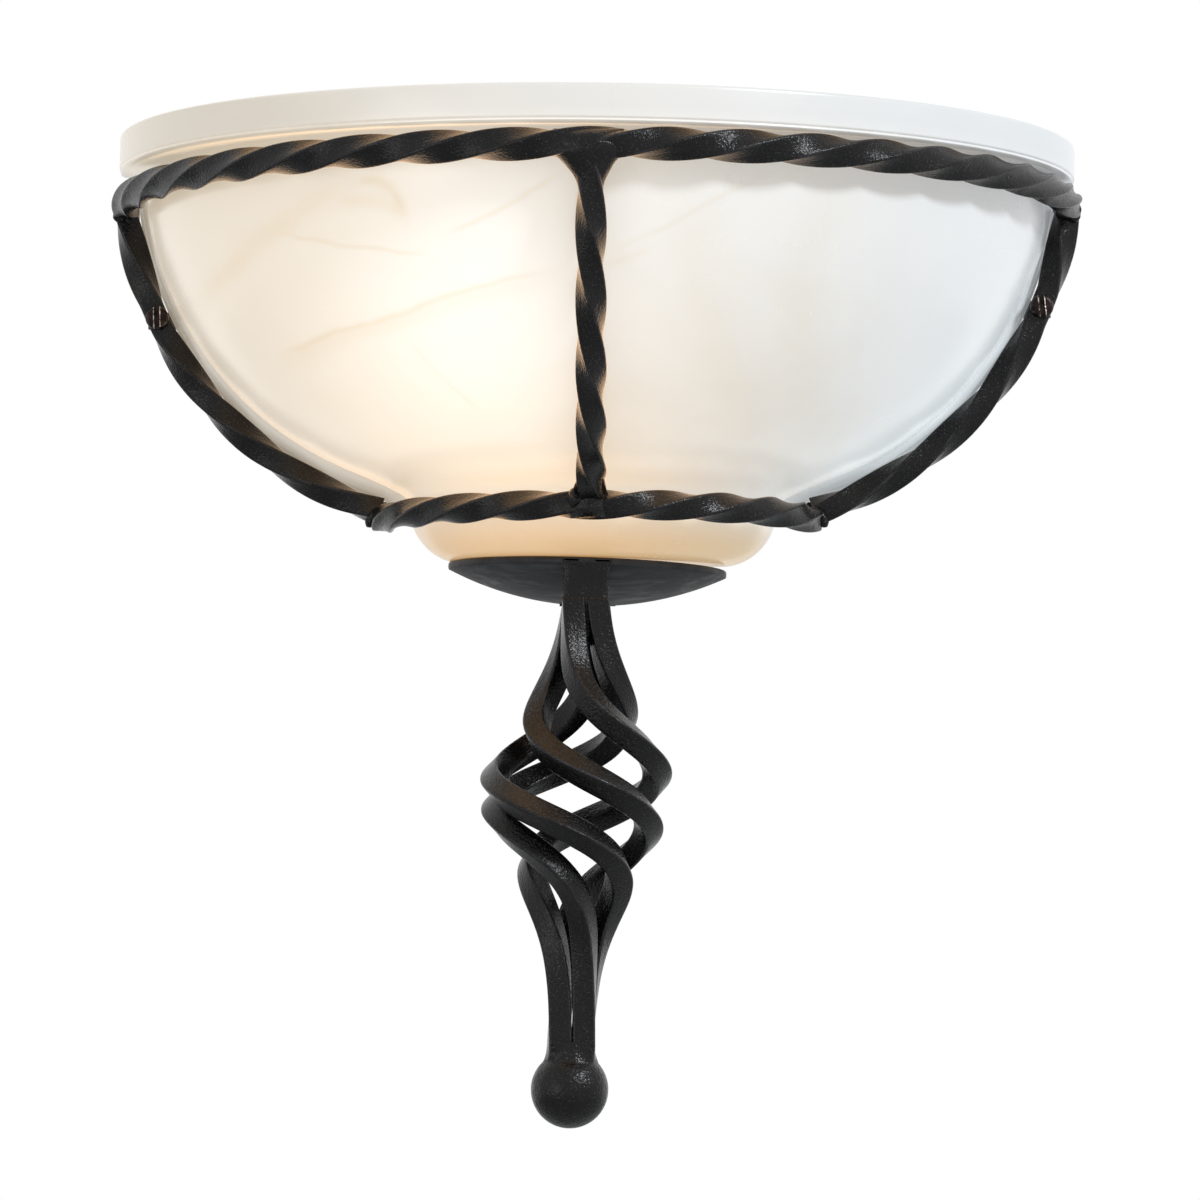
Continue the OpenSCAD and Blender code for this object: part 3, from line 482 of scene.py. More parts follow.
def make_black_powder(name, grain_size=1.0, depth=0.24, wave=0.3):
    finish, tree = new_finish(name, Specular_IOR_Level=0.22)
    grain = powder_grain(tree, grain_size, wave)
    tone = tone_drift(tree, rgb(15, 13, 12), rgb(8, 7, 6), 26.0)
    rub = edge_rub(tree, 0.5, 13.0)
    dust = settled_dust(tree, 0.06)
    # Lighter bluish specks in the colour are painted glints of the lamp light on the grain.
    colour = mix(times(grain["Glint specks"], 0.5), tone["Colour"], rgb(84, 87, 95))
    colour = mix(rub["Mask"], colour, rgb(62, 62, 66))
    colour = mix(dust["Mask"], colour, rgb(96, 94, 90))
    rough = ramp(tone["Mask"], 0.0, 1.0, 0.27, 0.21)
    rough = math("SUBTRACT", rough, times(grain["Glint specks"], 0.05))
    rough = math("ADD", rough, times(dust["Mask"], 0.8), clamp=True)
    return clothe(finish, colour, rough, grain["Height"], depth)


def make_streaked_powder():
    """Powder coat over the spun face of the dish, with fine level streaks in it."""
    finish, tree = new_finish("black coat over spun steel", Specular_IOR_Level=0.3)
    grain = powder_grain(tree, 0.8, 0.3)
    lines = brushing(tree, (0.06, 0.3, 1.0), 420.0)
    tone = tone_drift(tree, rgb(26, 27, 29), rgb(18, 18, 20), 22.0)
    rub = edge_rub(tree, 0.5, 13.0)
    colour = mix(times(lines["Mask"], 0.35), tone["Colour"], rgb(42, 43, 46))
    colour = mix(rub["Mask"], colour, rgb(66, 66, 70))
    height = math("ADD", times(grain["Height"], 0.5), lines["Height"])
    return clothe(finish, colour, ramp(lines["Mask"], 0.0, 1.0, 0.55, 0.42), height, 0.09)


# Light in the glass: (place in mm, reach in mm, linear colour), over an even light
EVEN_GLOW = (0.165, 0.183, 0.205, 1)
GLOWS = (
    ((-41, -139, -13), 52, (0.25, 0.26, 0.28)),
    ((-115, -114, 34), 204, (0.32, 0.21, 0.065)),
    ((-30, -71, -70), 80, (0.31, 0.205, 0.10)),
    ((111, -5, -65), 73, (0.20, 0.25, 0.28)))
# The lamp's side of the bowl as the black coat mirrors it, brighter than it is seen
MIRRORED_PLACE, MIRRORED_REACH, MIRRORED_LIGHT = (-50, -120, -35), 100, (2.6, 1.45, 0.65, 1)
# Streaks in the glass: (start x, z, end x, z, bow, width, strength) in mm, from the front
WISPS = (
    (-118, -27, -5, -1, 0, 1.0, 0.4), (-118, -29, -5, -4, 0, 3.2, 0.3), (-54, 8, -8, 30, -1, 0.9, 0.4),
    (1, 2, 64, 33, -2, 1.0, 0.22), (2, -2, 20, 4, 0, 1.3, 0.22), (-146, -8, -74, 31, 3, 4.6, 0.34),
    (-83, 29, -63, 15, 4, 2.0, 0.55), (-62, 16, -90, 22, -2, 2.6, 0.4), (-112, 14, -52, 1, 0, 0.8, 0.4),
    (-66, -22, -38, -49, 0, 0.8, 0.25), (30, 24, 60, -60, -5, 9.0, 0.22), (87, 34, 81, -60, -15, 10.0, 0.22))
# Heights and depths in metres between which the light and the streaks change
STREAKS_END, FOOT_CHANGE = (0.046, 0.036), (-0.090, -0.070)
RIM_CHANGE, WALL_CHANGE = (0.041, 0.050), (-0.004, -0.022)
WHITE_LIGHT, NO_LIGHT = (1, 1, 1, 1), (0, 0, 0, 1)


def tinted(light, share, low, high):
    """Light times a colour that goes from low to high with a share."""
    return mix(1.0, light, mix(share, low, high), "MULTIPLY")


def make_stone_glass():
    """White stone glass, lit from within by the lamp on its left side."""
    finish, tree = new_finish("white stone glass", IOR=1.5, Emission_Strength=1.0)
    veins = stone_veins(tree, 120.0, 0.05)
    tone = tone_drift(tree, rgb(205, 207, 208), rgb(200, 203, 204), 60.0)
    streaks = times(veins["Wisps"], 0.1)
    for x0, z0, x1, z1, bow, width, strength in WISPS:
        mask = wisp(tree, vec(x0, 0, z0) * MM, vec(x1, 0, z1) * MM, 4 * bow * MM, width)["Mask"]
        streaks = math("ADD", streaks, times(mask, strength))
    place = node("SeparateXYZ", {0: place_in(tree)}).outputs
    streaks = times(streaks, ramp(place["Z"], *STREAKS_END), clamp=True)
    above_foot = ramp(place["Z"], *FOOT_CHANGE)
    # The foot of the bowl gets a darker warm colour: painted shade over the dish and stem head, besides its
    # dimmer, warmer light.
    colour = mix(above_foot, rgb(212, 196, 168), tone["Colour"])
    colour = mix(streaks, colour, rgb(196, 188, 172))
    light = EVEN_GLOW
    for centre, reach, glow in GLOWS:
        share = lamp_glow(tree, Vector(centre) * MM, reach * MM)["Light"]
        light = mix(1.0, light, mix(share, NO_LIGHT, glow + (1,)), "ADD")
    light = tinted(light, streaks, WHITE_LIGHT, (0.87, 0.81, 0.72, 1))
    light = tinted(light, above_foot, (0.72, 0.50, 0.26, 1), WHITE_LIGHT)
    rim = ramp(place["Z"], *RIM_CHANGE, 1.0, 0.72)
    wall = ramp(place["Y"], *WALL_CHANGE, 0.66, 1.0)
    light = mix(times(rim, wall), NO_LIGHT, light)
    mirrored = node("LightPath", {}, tree).outputs["Is Glossy Ray"]
    lamp_side = lamp_glow(tree, Vector(MIRRORED_PLACE) * MM, MIRRORED_REACH * MM)["Light"]
    light = mix(times(mirrored, lamp_side), light, MIRRORED_LIGHT, "ADD")
    rough = ramp(tone["Mask"], 0.0, 1.0, 0.22, 0.28)
    return clothe(finish, colour, rough, veins["Cloud"], 0.25, 0.4, light)


def make_plain_metal(name, light, dark, rough, along=(1.0, 1.0, 0.05)):
    """Machined or rolled metal with scratches along one way and a slow change of tone."""
    finish, tree = new_finish(name, Metallic=1.0)
    lines = brushing(tree, along, 900.0)
    tone = tone_drift(tree, light, dark, 12.0)
    dust = settled_dust(tree, 0.15)
    colour = mix(times(lines["Mask"], 0.3), tone["Colour"], light)
    colour = mix(dust["Mask"], colour, rgb(150, 146, 138))
    rough = ramp(lines["Height"], 0.2, 0.8, rough - 0.08, rough + 0.1)
    return clothe(finish, colour, rough, lines["Height"], 0.03, 0.7)


def make_worn_screw():
    """Dark bronzed steel, bright where the driver has raised and rubbed the edges of the slot."""
    finish, tree = new_finish("bronzed screw", Metallic=1.0)
    tone = tone_drift(tree, rgb(52, 42, 39), rgb(27, 22, 21), 3.0)
    rub = edge_rub(tree, 1.0, 2.2)
    lines = brushing(tree, (1.0, 1.0, 0.2), 1800.0)
    colour = mix(rub["Mask"], tone["Colour"], rgb(224, 218, 214))
    rough = ramp(lines["Height"], 0.2, 0.8, 0.26, 0.42)
    return clothe(finish, colour, rough, lines["Height"], 0.05, 0.8)


def make_spangled_zinc():
    """Galvanised sheet: crystals of zinc, each with its own tone."""
    finish, tree = new_finish("galvanised steel", Metallic=0.85)
    crystal = node("TexVoronoi", {"Vector": place_in(tree), "Scale": 170.0})
    tone = node("SeparateColor", {0: crystal.outputs["Color"]}).outputs[0]
    drift = tone_drift(tree, rgb(176, 180, 184), rgb(146, 150, 155), 9.0)
    lines = brushing(tree, (0.05, 1.0, 1.0), 700.0)
    colour = mix(times(tone, 0.55), drift["Colour"], rgb(196, 200, 204))
    return clothe(finish, colour, ramp(tone, 0.0, 1.0, 0.34, 0.52), lines["Height"], 0.03, 0.5)


def make_glazed_porcelain():
    finish, tree = new_finish("glazed porcelain", IOR=1.5, Coat_Weight=0.4, Coat_Roughness=0.08)
    tone = tone_drift(tree, rgb(236, 232, 222), rgb(226, 221, 209), 14.0)
    dust = settled_dust(tree, 0.12)
    fleck = ramp(noise_in(place_in(tree), 620.0, 1.0), 0.72, 0.78)
    colour = mix(times(fleck, 0.35), tone["Colour"], rgb(150, 132, 108))
    colour = mix(dust["Mask"], colour, rgb(186, 180, 168))
    rough = ramp(tone["Mask"], 0.0, 1.0, 0.18, 0.27)
    return clothe(finish, colour, rough, noise_in(place_in(tree), 90.0, 1.0), 0.15, 0.6)


def make_moulded(name, light, dark, rough, grain=0.5, depth=0.03):
    """Moulded rubber, plastic cover or fired insulator, with a fine skin."""
    finish, tree = new_finish(name, IOR=1.48)
    skin = powder_grain(tree, grain, 0.3)
    tone = tone_drift(tree, light, dark, 7.0)
    rough = ramp(tone["Mask"], 0.0, 1.0, rough, rough + 0.1)
    return clothe(finish, tone["Colour"], rough, skin["Height"], depth)


LAMP_AT = vec(-62, -42, -14) * MM  # middle of the bulb


def make_frosted_bulb():
    """Lit bulb of inside-frosted glass: white hot at its middle, dimmer towards its neck."""
    finish, tree = new_finish("frosted lamp glass", IOR=1.5, Emission_Strength=1.0)
    tone = tone_drift(tree, rgb(240, 238, 230), rgb(232, 229, 219), 10.0)
    hot = lamp_glow(tree, LAMP_AT, 0.034)["Light"]
    light = mix(hot, (0.10, 0.07, 0.04, 1), (1.0, 0.93, 0.78, 1))
    rough = ramp(tone["Mask"], 0.0, 1.0, 0.30, 0.38)
    return clothe(finish, tone["Colour"], rough, noise_in(place_in(tree), 2600.0, 2.0), 0.02, 0.5, light)


BLACK_POWDER = make_black_powder("black powder coat")
WELD_POWDER = make_black_powder("black coat over weld", grain_size=1.1, depth=0.26, wave=1.6)
STREAKED_POWDER = make_streaked_powder()
STONE_GLASS = make_stone_glass()
DARK_BRONZE = make_worn_screw()
ZINC = make_spangled_zinc()
LAMP_BRASS = make_plain_metal("lamp brass", rgb(214, 176, 104), rgb(176, 136, 76), 0.30)
BRIGHT_CAP = make_plain_metal("bright lamp cap", rgb(206, 206, 204), rgb(172, 172, 170), 0.28,
                              along=(0.05, 1.0, 1.0))
PORCELAIN = make_glazed_porcelain()
RUBBER = make_moulded("black rubber", rgb(34, 34, 35), rgb(24, 24, 25), 0.62, 0.7, 0.06)
LEAD_BROWN = make_moulded("brown lead cover", rgb(116, 66, 38), rgb(96, 52, 28), 0.42)
LEAD_BLUE = make_moulded("blue lead cover", rgb(52, 98, 160), rgb(40, 80, 138), 0.42)
BLACK_GLASS = make_moulded("black cap glass", rgb(20, 20, 26), rgb(12, 12, 16), 0.16)
BULB_GLASS = make_frosted_bulb()


# ---- frame of twisted bar ----

iron(twisted_hoop("upper_hoop_bar", UPPER_HOOP_R, UPPER_HOOP_Z, UPPER_QUARTERS, HOOP_BAR, 1),
     BLACK_POWDER, "upper_hoop")
iron(twisted_hoop("lower_hoop_bar", LOWER_HOOP_R, LOWER_HOOP_Z, LOWER_QUARTERS, BAR, 3),
     BLACK_POWDER, "lower_hoop")
for k, word in enumerate(SIDE_WORDS):
    iron(curved_bar(f"side_bar_{word}_twisted", 0, 1,
                    lambda p, k=k: vec(SIDES[k] * p.x, -SIDE_OUT, p.y), vec(0, -1, 0),
                    lambda s, k=k: side_twist(s - SCREW_S[k]), 5 + k),
         BLACK_POWDER, f"side_bar_{word}")

INTO_HOOP = 2  # how far each end of the front bar runs into its hoop
front_from = crossing(lambda t: HOOP_REACH - INTO_HOOP - (curve(t) - curve(0)).dot(heading(t)))
front_to = crossing(lambda t: (curve(1) - curve(t)).dot(heading(t)) - BAR_REACH + INTO_HOOP)
iron(curved_bar("front_bar_twisted", front_from, front_to,
                lambda p: vec(FRONT_BAR_X, -p.x, p.y), vec(1, 0, 0),
                lambda s: -pi / 2 * (s + HOOP_REACH - INTO_HOOP - FRONT_FLAT) / FRONT_QUARTER, 8),
     BLACK_POWDER, "front_bar")


# ---- dish, stem and basket ----

def stem_frame(p):
    """A place on the leaning stem, from one on an upright stem under the dish."""
    c, s = cos(STEM_LEAN), sin(STEM_LEAN)
    return vec(DISH_X + p[0] * c + p[2] * s, p[1], DISH_Z - p[0] * s + p[2] * c)


def make_dish():
    """Half of a shallow dished plate, its rim rounded and its flat side at the wall."""
    lip, inner, back = 0.4, DISH_BALL_R - DISH_T, PLATE_T + 0.02
    under_rows, lip_rows, over_rows, steps = 40, 8, 30, 72
    rows = []  # (radius, height, edge mark) from middle under to middle over
    for i in range(under_rows + 1):
        r = (DISH_R - lip) * i / under_rows
        rows.append((r, DISH_MID_Z - sqrt(DISH_BALL_R ** 2 - r * r), 0.0))
    low = rows[-1][1]
    for i in range(1, lip_rows + 1):
        a = -pi / 2 + pi * i / lip_rows
        rows.append((DISH_R - lip + lip * cos(a), low / 2 - low / 2 * sin(a), 0.7 + 0.3 * cos(a)))
    top = min(DISH_R - lip, sqrt(max(0.0, inner ** 2 - DISH_MID_Z ** 2)))
    for i in range(over_rows, -1, -1):
        r = top * i / over_rows
        rows.append((r, min(0.0, DISH_MID_Z - sqrt(inner ** 2 - r * r)), 0.0))
    points, edge, spans, faces = [], [], [], []
    for r, z, mark in rows:  # each row is half a ring, or one point near the middle
        spans.append((len(points), steps + 1 if r > back else 1))
        if r > back:
            a0 = asin(back / r)
            turns = [-a0 - (pi - 2 * a0) * j / steps for j in range(steps + 1)]
            points += [stem_frame((r * cos(a), r * sin(a), z)) for a in turns]
        else:
            points.append(stem_frame((0, -back, z)))
        edge += [mark] * spans[-1][1]
    for (a, na), (b, nb) in zip(spans, spans[1:]):
        if na == 1 and nb == 1:
            continue
        for j in range(steps):
            if na == 1:
                faces.append((a, b + j, b + j + 1))
            elif nb == 1:
                faces.append((a + j, b, a + j + 1))
            else:
                faces.append((a + j, b + j, b + j + 1, a + j + 1))
    right = [a for a, n in spans]
    left = [a + n - 1 for a, n in reversed(spans) if n > 1]
    faces.append(tuple(right + left))
    return mesh_of("dish_plate", points, faces, edge)


iron(make_dish(), STREAKED_POWDER, "dish")


def bulge_share(z):
    return exp(-((z + HEAD_H + BULGE_AT) / BULGE_SPREAD) ** 2)


def rod_r(z, k):
    return ROD / sqrt(2) + FIT / 2 + BULGE * ROD_SWELL[k] * bulge_share(z)


def twist_share(z):
    return tanh((-HEAD_H - TWIST_AT - z) / TWIST_SPREAD)


NECK_Z = -HEAD_H - ROD_LEN


def rod_turn(z):
    first, last = twist_share(-HEAD_H), twist_share(NECK_Z)
    return tau * BASKET_TURNS * (twist_share(z) - first) / (last - first)


def rod_angle(z, k):
    return radians(-135 - 90 * k) + rod_turn(z) + ROD_LEAD[k] * bulge_share(z)


def rod_at(z, k):
    a, r = rod_angle(z, k), rod_r(z, k)
    return vec(r * cos(a), STEM_Y + r * sin(a), z)


def basket_rod(k):
    rings = 190
    origin = stem_frame((0, 0, 0))
    middles, sides_a, sides_b = [], [], []
    for i in range(rings + 1):
        z = -HEAD_H - ROD_LEN * i / rings
        way = vec(0, 0, -1)
        if 0 < i < rings:
            way = (rod_at(z - 0.1, k) - rod_at(z + 0.1, k)).normalized()
        out = vec(cos(rod_angle(z, k)), sin(rod_angle(z, k)), 0)
        out = (out - out.dot(way) * way).normalized()
        middles.append(stem_frame(rod_at(z, k)))
        sides_a.append(stem_frame(out) - origin)
        sides_b.append(stem_frame(way.cross(out)) - origin)
    return swept_bar(f"basket_rod_{k + 1}_forged", middles, sides_a, sides_b, [pi / 4] * (rings + 1),
                     ROD, ROD_ROUND, 11 + k)


for k in range(4):
    iron(basket_rod(k), BLACK_POWDER, f"basket_rod_{k + 1}")


def under_dish(x, y):
    """Height to which the head runs up into the dish, over a place in its section."""
    out = min(-PLATE_T, y + STEM_Y)
    return DISH_MID_Z - sqrt(DISH_BALL_R ** 2 - min(x * x + out * out, DISH_R ** 2)) + 1.0


def make_stem_head():
    """Welded and dressed head of the rods: a soft-edged block that flares a little under the dish."""
    points, edge, rings, plug = [], [], 40, 17
    for i in range(rings + 1):
        z = -(HEAD_H + plug) * i / rings - 0.1
        t = min(1.0, -z / HEAD_H)
        w = 2 * ROD - 0.9 + 0.9 * t + 2.6 * exp(-((t / 0.22) ** 2))
        if -z > HEAD_H:  # a plug runs on between the rods, out of sight
            w = min(2 * ROD, (2 * ROD - 0.9) * (1 + (z + HEAD_H) / plug) + 2)
        section, marks = square_section(w, 1.6 + 0.6 * (1 - t), arc_steps=5, flat_steps=8, hollow=-0.08)
        for (x, y), mark in zip(section, marks):
            swell = 1 + 0.22 * waver((x, y, z), 5.0, 4) / 14
            top = z
            if i == 0 or y + STEM_Y > -DISH_R + 3:
                top = min(z, under_dish(x, y))
            out = max(y * swell, -DISH_R - STEM_Y + 0.1) + STEM_Y
            points.append(stem_frame((x * swell, out, top)))
            edge.append(mark * 0.5)
    return mesh_of("stem_head_dressed", points, ring_faces(rings + 1, len(points) // (rings + 1)), edge)


iron(make_stem_head(), WELD_POWDER, "stem_head")


def make_ball():
    """Forged ball, its neck run up from the round into the square bundle of the rods."""
    ball_rows, neck_rows, steps = 59, 18, 96
    neck_from, neck_w, corner_limit = radians(44), ROD + 0.2, 1.30
    points, rows = [], []  # rows of (radius, height, share of the square)
    for i in range(1, ball_rows + 1):
        a = -pi / 2 + (pi / 2 + neck_from) * i / ball_rows
        rows.append((BALL_R * cos(a), BALL_R * sin(a), 0.0))
    top_r, top_z = rows[-1][:2]
    for i in range(1, neck_rows + 1):
        t = i / neck_rows
        rows.append((neck_w + (top_r - ROD - 0.2) * (1 - t) ** 2.2,
                     top_z + (NECK_H + 1.6 - top_z) * t, min(1.0, 1.5 * t)))
    turn = rod_turn(NECK_Z)
    for r, z, square in rows:
        bumpy = 0.32 * exp(-((z - 10.5) / 4.5) ** 2)
        for j in range(steps):
            u = tau * j / steps
            corner = min(1 / max(abs(cos(u - turn)), abs(sin(u - turn))), corner_limit)
            radius = r * (1 + square * (corner - 1) * 0.86)
            radius += bumpy * waver((cos(u) * 14, sin(u) * 14, z), 4.5, 9)
            if z < 6:  # the ball itself stays inside its solid
                radius = min(radius, BALL_R - 0.02)
            points.append(stem_frame((radius * cos(u), STEM_Y + radius * sin(u), NECK_Z - NECK_H + z)))
    return mesh_of("ball_forged", points, ring_faces(len(rows), steps), [0.0] * len(points))


iron(make_ball(), WELD_POWDER, "ball_finial")


# ---- screws of the frame ----

def frame_screw(k, word):
    """Round-edged screw head with a wide slot, its edges raised by the driver, on a plain shank."""
    half, step = 100, 36
    slot, deep, burr = 0.95, 1.25, 0.3
    columns = sorted({side * x for side in SIDES for x in
                      [(SCREW_HEAD_R - 0.005) * sin(pi / 2 * i / step) for i in range(step + 1)]
                      + [slot + d for d in (-0.02, 0.0, 0.1, 0.2, 0.32, 0.45)]})
    rows = [sin(pi / 2 * (2 * j / half - 1)) for j in range(half + 1)]
    face = vec(SIDES[k] * SCREW_X[k], -SIDE_OUT - BAR / 2, SCREW_Z[k])
    c, s = cos(SCREW_TURNS[k]), sin(SCREW_TURNS[k])
    points, edge = [], []

    def add(u, v, h, mark):
        points.append(face + vec(u * c - v * s, -h, u * s + v * c))
        edge.append(mark)

    for u in columns:
        reach = sqrt(max(0.0, SCREW_HEAD_R ** 2 - u * u))
        add(u, -reach, 0.0, 0.0)
        for t in rows:
            r = hypot(u, reach * t)
            into = max(0.0, r - SCREW_HEAD_R + SCREW_ROUND)
            h = SCREW_HEAD_H - SCREW_ROUND + sqrt(max(0.0, SCREW_ROUND ** 2 - into ** 2))
            mark = 0.55 * (into > 0.5 * SCREW_ROUND)
            if abs(u) < slot - 0.01:
                h, mark = min(h, SCREW_HEAD_H - deep), 0.0
            elif abs(u) < slot + 0.4:
                lift = burr * (0.75 + 0.5 * waver((u * 3, reach * t, k), 1.1, 40 + k))
                h, mark = h + lift * (1 - (abs(u) - slot) / 0.45), 1.0
            add(u, reach * t, h, mark)
        add(u, reach, 0.0, 0.0)
    n = half + 3
    starts = [i * n for i in range(len(columns))]
    faces = [(a + j, a + j + 1, b + j + 1, b + j) for a, b in zip(starts, starts[1:]) for j in range(n - 1)]
    faces += [(a + n - 1, a, b, b + n - 1) for a, b in zip(starts, starts[1:])]
    faces += [tuple(range(n)), tuple(starts[-1] + j for j in reversed(range(n)))]
    first, around = len(points), 32
    for h in (0.4, -BAR - PLATE_T + CLEAR):
        for j in range(around):
            add(SCREW_R * cos(tau * j / around), SCREW_R * sin(tau * j / around), h, 0.0)
    faces += ring_faces(2, around, first)
    thing = mesh_of(f"frame_screw_{word}_slotted", points, faces, edge)
    soft = thing.modifiers.new("crisp edges", "EDGE_SPLIT")
    soft.split_angle = radians(50)
    return thing


for k, word in enumerate(SIDE_WORDS):
    place_piece(frame_screw(k, word), DARK_BRONZE, "frame", f"frame_screw_{word}", slot="bronze_screw")


# ---- glass bowl ----

RIM_R = UPPER_HOOP_R + RIM_OVER
RIM_Z = UPPER_HOOP_Z + HOOP_REACH + FIT + RIM_R * hypot(sin(BOWL_ROLL), sin(BOWL_PITCH))
RIM_TOP = RIM_Z + RIM_H
RIM_RISE = RIM_R * sin(BOWL_ROLL)
GLASS_BACK = PLATE_T + CLEAR
FOOT_R = LOWER_HOOP_R - BAR_REACH - FOOT_GAP
BAR_END_X = LOWER_HOOP_R - 3.2  # clear of the foot of the side bar
GLASS_FOOT_Z = LOWER_HOOP_Z + GLASS_FOOT_RISE
BOWL_TILT = Matrix.Rotation(BOWL_ROLL, 3, "Y") @ Matrix.Rotation(BOWL_PITCH, 3, "X")


def bowl_in(t):
    return BOWL_IN_TOP + (BOWL_IN_FOOT - BOWL_IN_TOP) * t


def bend(a, b, c, steps):
    """Curve from a to c, pulled towards b."""
    return [(1 - t) ** 2 * a + 2 * t * (1 - t) * b + t * t * c for t in (i / steps for i in range(steps + 1))]


def rounded(corners, r, n=5):
    """Open outline with its inner corners rounded, as far as the sides allow."""
    made = [corners[0]]
    for a, b, c in zip(corners, corners[1:], corners[2:]):
        back, on = a - b, c - b
        cut = min(r, back.length * 0.45, on.length * 0.45)
        made += bend(b + back.normalized() * cut, b, b + on.normalized() * cut, n)
    return made + [corners[-1]]


def bowl_profile():
    """Outside of the bowl from the inner top of its rim down to its middle, and back up inside."""
    wall_steps, bend_steps, foot_steps, floor_steps = 44, 12, 18, 8
    shares = [BOWL_START + (BOWL_END - BOWL_START) * i / wall_steps for i in range(wall_steps + 1)]
    down = [curve_in(t, bowl_in(t)) for t in shares]
    shoulder, way = down[-1], (down[-1] - down[-2]).normalized()
    cove = shoulder + (FOOT_R - shoulder.x) / way.x * way
    outside = down + bend(shoulder, cove, vec(FOOT_R, GLASS_FOOT_Z), bend_steps)[1:-1]
    for i in range(foot_steps + 1):
        a = -pi / 2 * i / foot_steps
        p = vec(FOOT_R - FOOT_ROUND, GLASS_FOOT_Z) + FOOT_ROUND * vec(cos(a), sin(a))
        outside.append(vec(p.x, p.y + FOOT_SINK * (p.y - GLASS_FOOT_Z) / FOOT_ROUND))
    floor_z, inner_edge = GLASS_FOOT_Z - FOOT_ROUND - FOOT_SINK, GLASS_BACK + 0.2
    floor_x = outside[-1].x
    outside += [vec(floor_x + (inner_edge - floor_x) * i / floor_steps, floor_z)
                for i in range(1, floor_steps + 1)]
    rim = rounded([Vector(p) for p in (
        (RIM_R - RIM_W, RIM_TOP - 6), (RIM_R - RIM_W, RIM_TOP), (RIM_R, RIM_TOP),
        (RIM_R, RIM_TOP - GROOVE_DROP + GROOVE_W / 2), (RIM_R - GROOVE_D, RIM_TOP - GROOVE_DROP),
        (RIM_R - 0.3, RIM_TOP - GROOVE_DROP - GROOVE_W / 2), (RIM_R - 1, RIM_Z + 0.5),
        (RIM_R - 2.4, RIM_Z), (down[0].x, RIM_Z))], 1.5)
    inside = []
    for before, p, after in zip(outside[:1] + outside, outside, outside[1:] + outside[-1:]):
        h = (after - before).normalized()
        inside.append(p + GLASS_WALL * vec(h.y, -h.x))
    inside[-1] = vec(inner_edge, floor_z + GLASS_WALL)
    return rim + outside, inside[::-1]


def flange_rows():
    """Along a side bar: the edge of the flange, the way in from it, and its root in the bowl."""
    outside = bowl_profile()[0]
    rows, steps, level = [], 63, vec(-1, 0)
    for i in range(steps + 1):
        t = i / steps
        way = (curve_in(t, 10) - curve_in(t, 0)).normalized()
        root = curve_in(t, bowl_in(t) + GLASS_WALL / 2)
        if t > BOWL_END - 0.06:  # below the shoulder the root keeps inside the bowl
            near = min(outside, key=lambda p: abs(p.y - root.y))
            root.x = min(root.x, near.x - 1.5)
        rows.append((curve_in(t, BAR_REACH + CLEAR), way, root))
    top, foot_z = rows[0], rows[-1][0].y
    up = [(vec(top[0].x + 1.2 * k / 3, z), level, vec(top[2].x, z))
          for k, z in enumerate((RIM_Z + 1.5, top[0].y + 4, top[0].y + 2))]
    foot = vec(FOOT_R - 1.5, GLASS_FOOT_Z)
    down = [(vec(BAR_END_X - d, foot_z - h), level, vec(foot.x - d / 4, foot.y + root_h))
            for d, h, root_h in ((0.8, 2.5, 5), (2.6, 4.5, 1), (5.6, 6.5, -3))]
    return up + rows + down


def rim_corner(p):
    """Rounds the two top corners of the rim at the wall."""
    side = 1 if p.x > 0 else -1
    mid = vec(side * (RIM_R - RIM_CORNER), RIM_TOP - side * RIM_RISE - RIM_CORNER)
    off = vec(p.x, p.z) - mid
    if side * off.x > 0 and off.y > 0 and off.length > RIM_CORNER:
        off *= RIM_CORNER / off.length
        return vec(mid.x + off.x, p.y, mid.y + off.y)
    return p


def make_flange(side):
    """Flat flange along the back of the bowl, its edge hollowed round a side bar."""
    points, across, reach = [], 8, BAR_REACH + CLEAR
    for out, way, root in flange_rows():
        points.append(vec(side * root.x, -GLASS_BACK, root.y))
        for s in range(across + 1):
            y = GLASS_BACK + FLANGE_T * s / across
            room = sqrt(max(0.0, reach ** 2 - (SIDE_OUT - y) ** 2)) + 0.12
            q = out + way * (room - BAR_REACH - CLEAR)
            points.append(vec(side * q.x, -y, q.y))
        points.append(vec(side * root.x, -GLASS_BACK - FLANGE_T, root.y))
    n = across + 3
    return mesh_of("flange_part", points, ring_faces(len(points) // n, n))


def make_bowl():
    """Half bowl turned about its middle, leaning, cut flat at the wall and joined with its flanges."""
    outer, inner = bowl_profile()
    loop = outer + inner
    steps, points = 240, []
    for j in range(steps + 1):
        for r, z in loop:
            up = z - RIM_Z
            near = min(1.0, (-GLASS_BACK + up * sin(BOWL_PITCH)) / (r * cos(BOWL_PITCH)))
            a0 = asin(max(-1.0, near))
            a = a0 - (pi + 2 * a0) * j / steps
            p = BOWL_TILT @ vec(r * cos(a), r * sin(a), up)
            p.y = min(p.y, -GLASS_BACK)
            points.append(rim_corner(p + vec(0, 0, RIM_Z)))
    bowl = mesh_of("stone_glass_bowl", points, ring_faces(steps + 1, len(loop)))
    flanges = [make_flange(side) for side in SIDES]
    joined = bmesh.new()
    for part in [bowl] + flanges:
        joined.from_mesh(part.data)
    joined.to_mesh(bowl.data)
    joined.free()
    bowl.data.polygons.foreach_set("use_smooth", [True] * len(bowl.data.polygons))
    for part in flanges:
        bpy.data.objects.remove(part)
    return bowl


place_piece(make_bowl(), STONE_GLASS, "bowl", "glass_bowl", slot="stone_glass")


# ---- welds ----

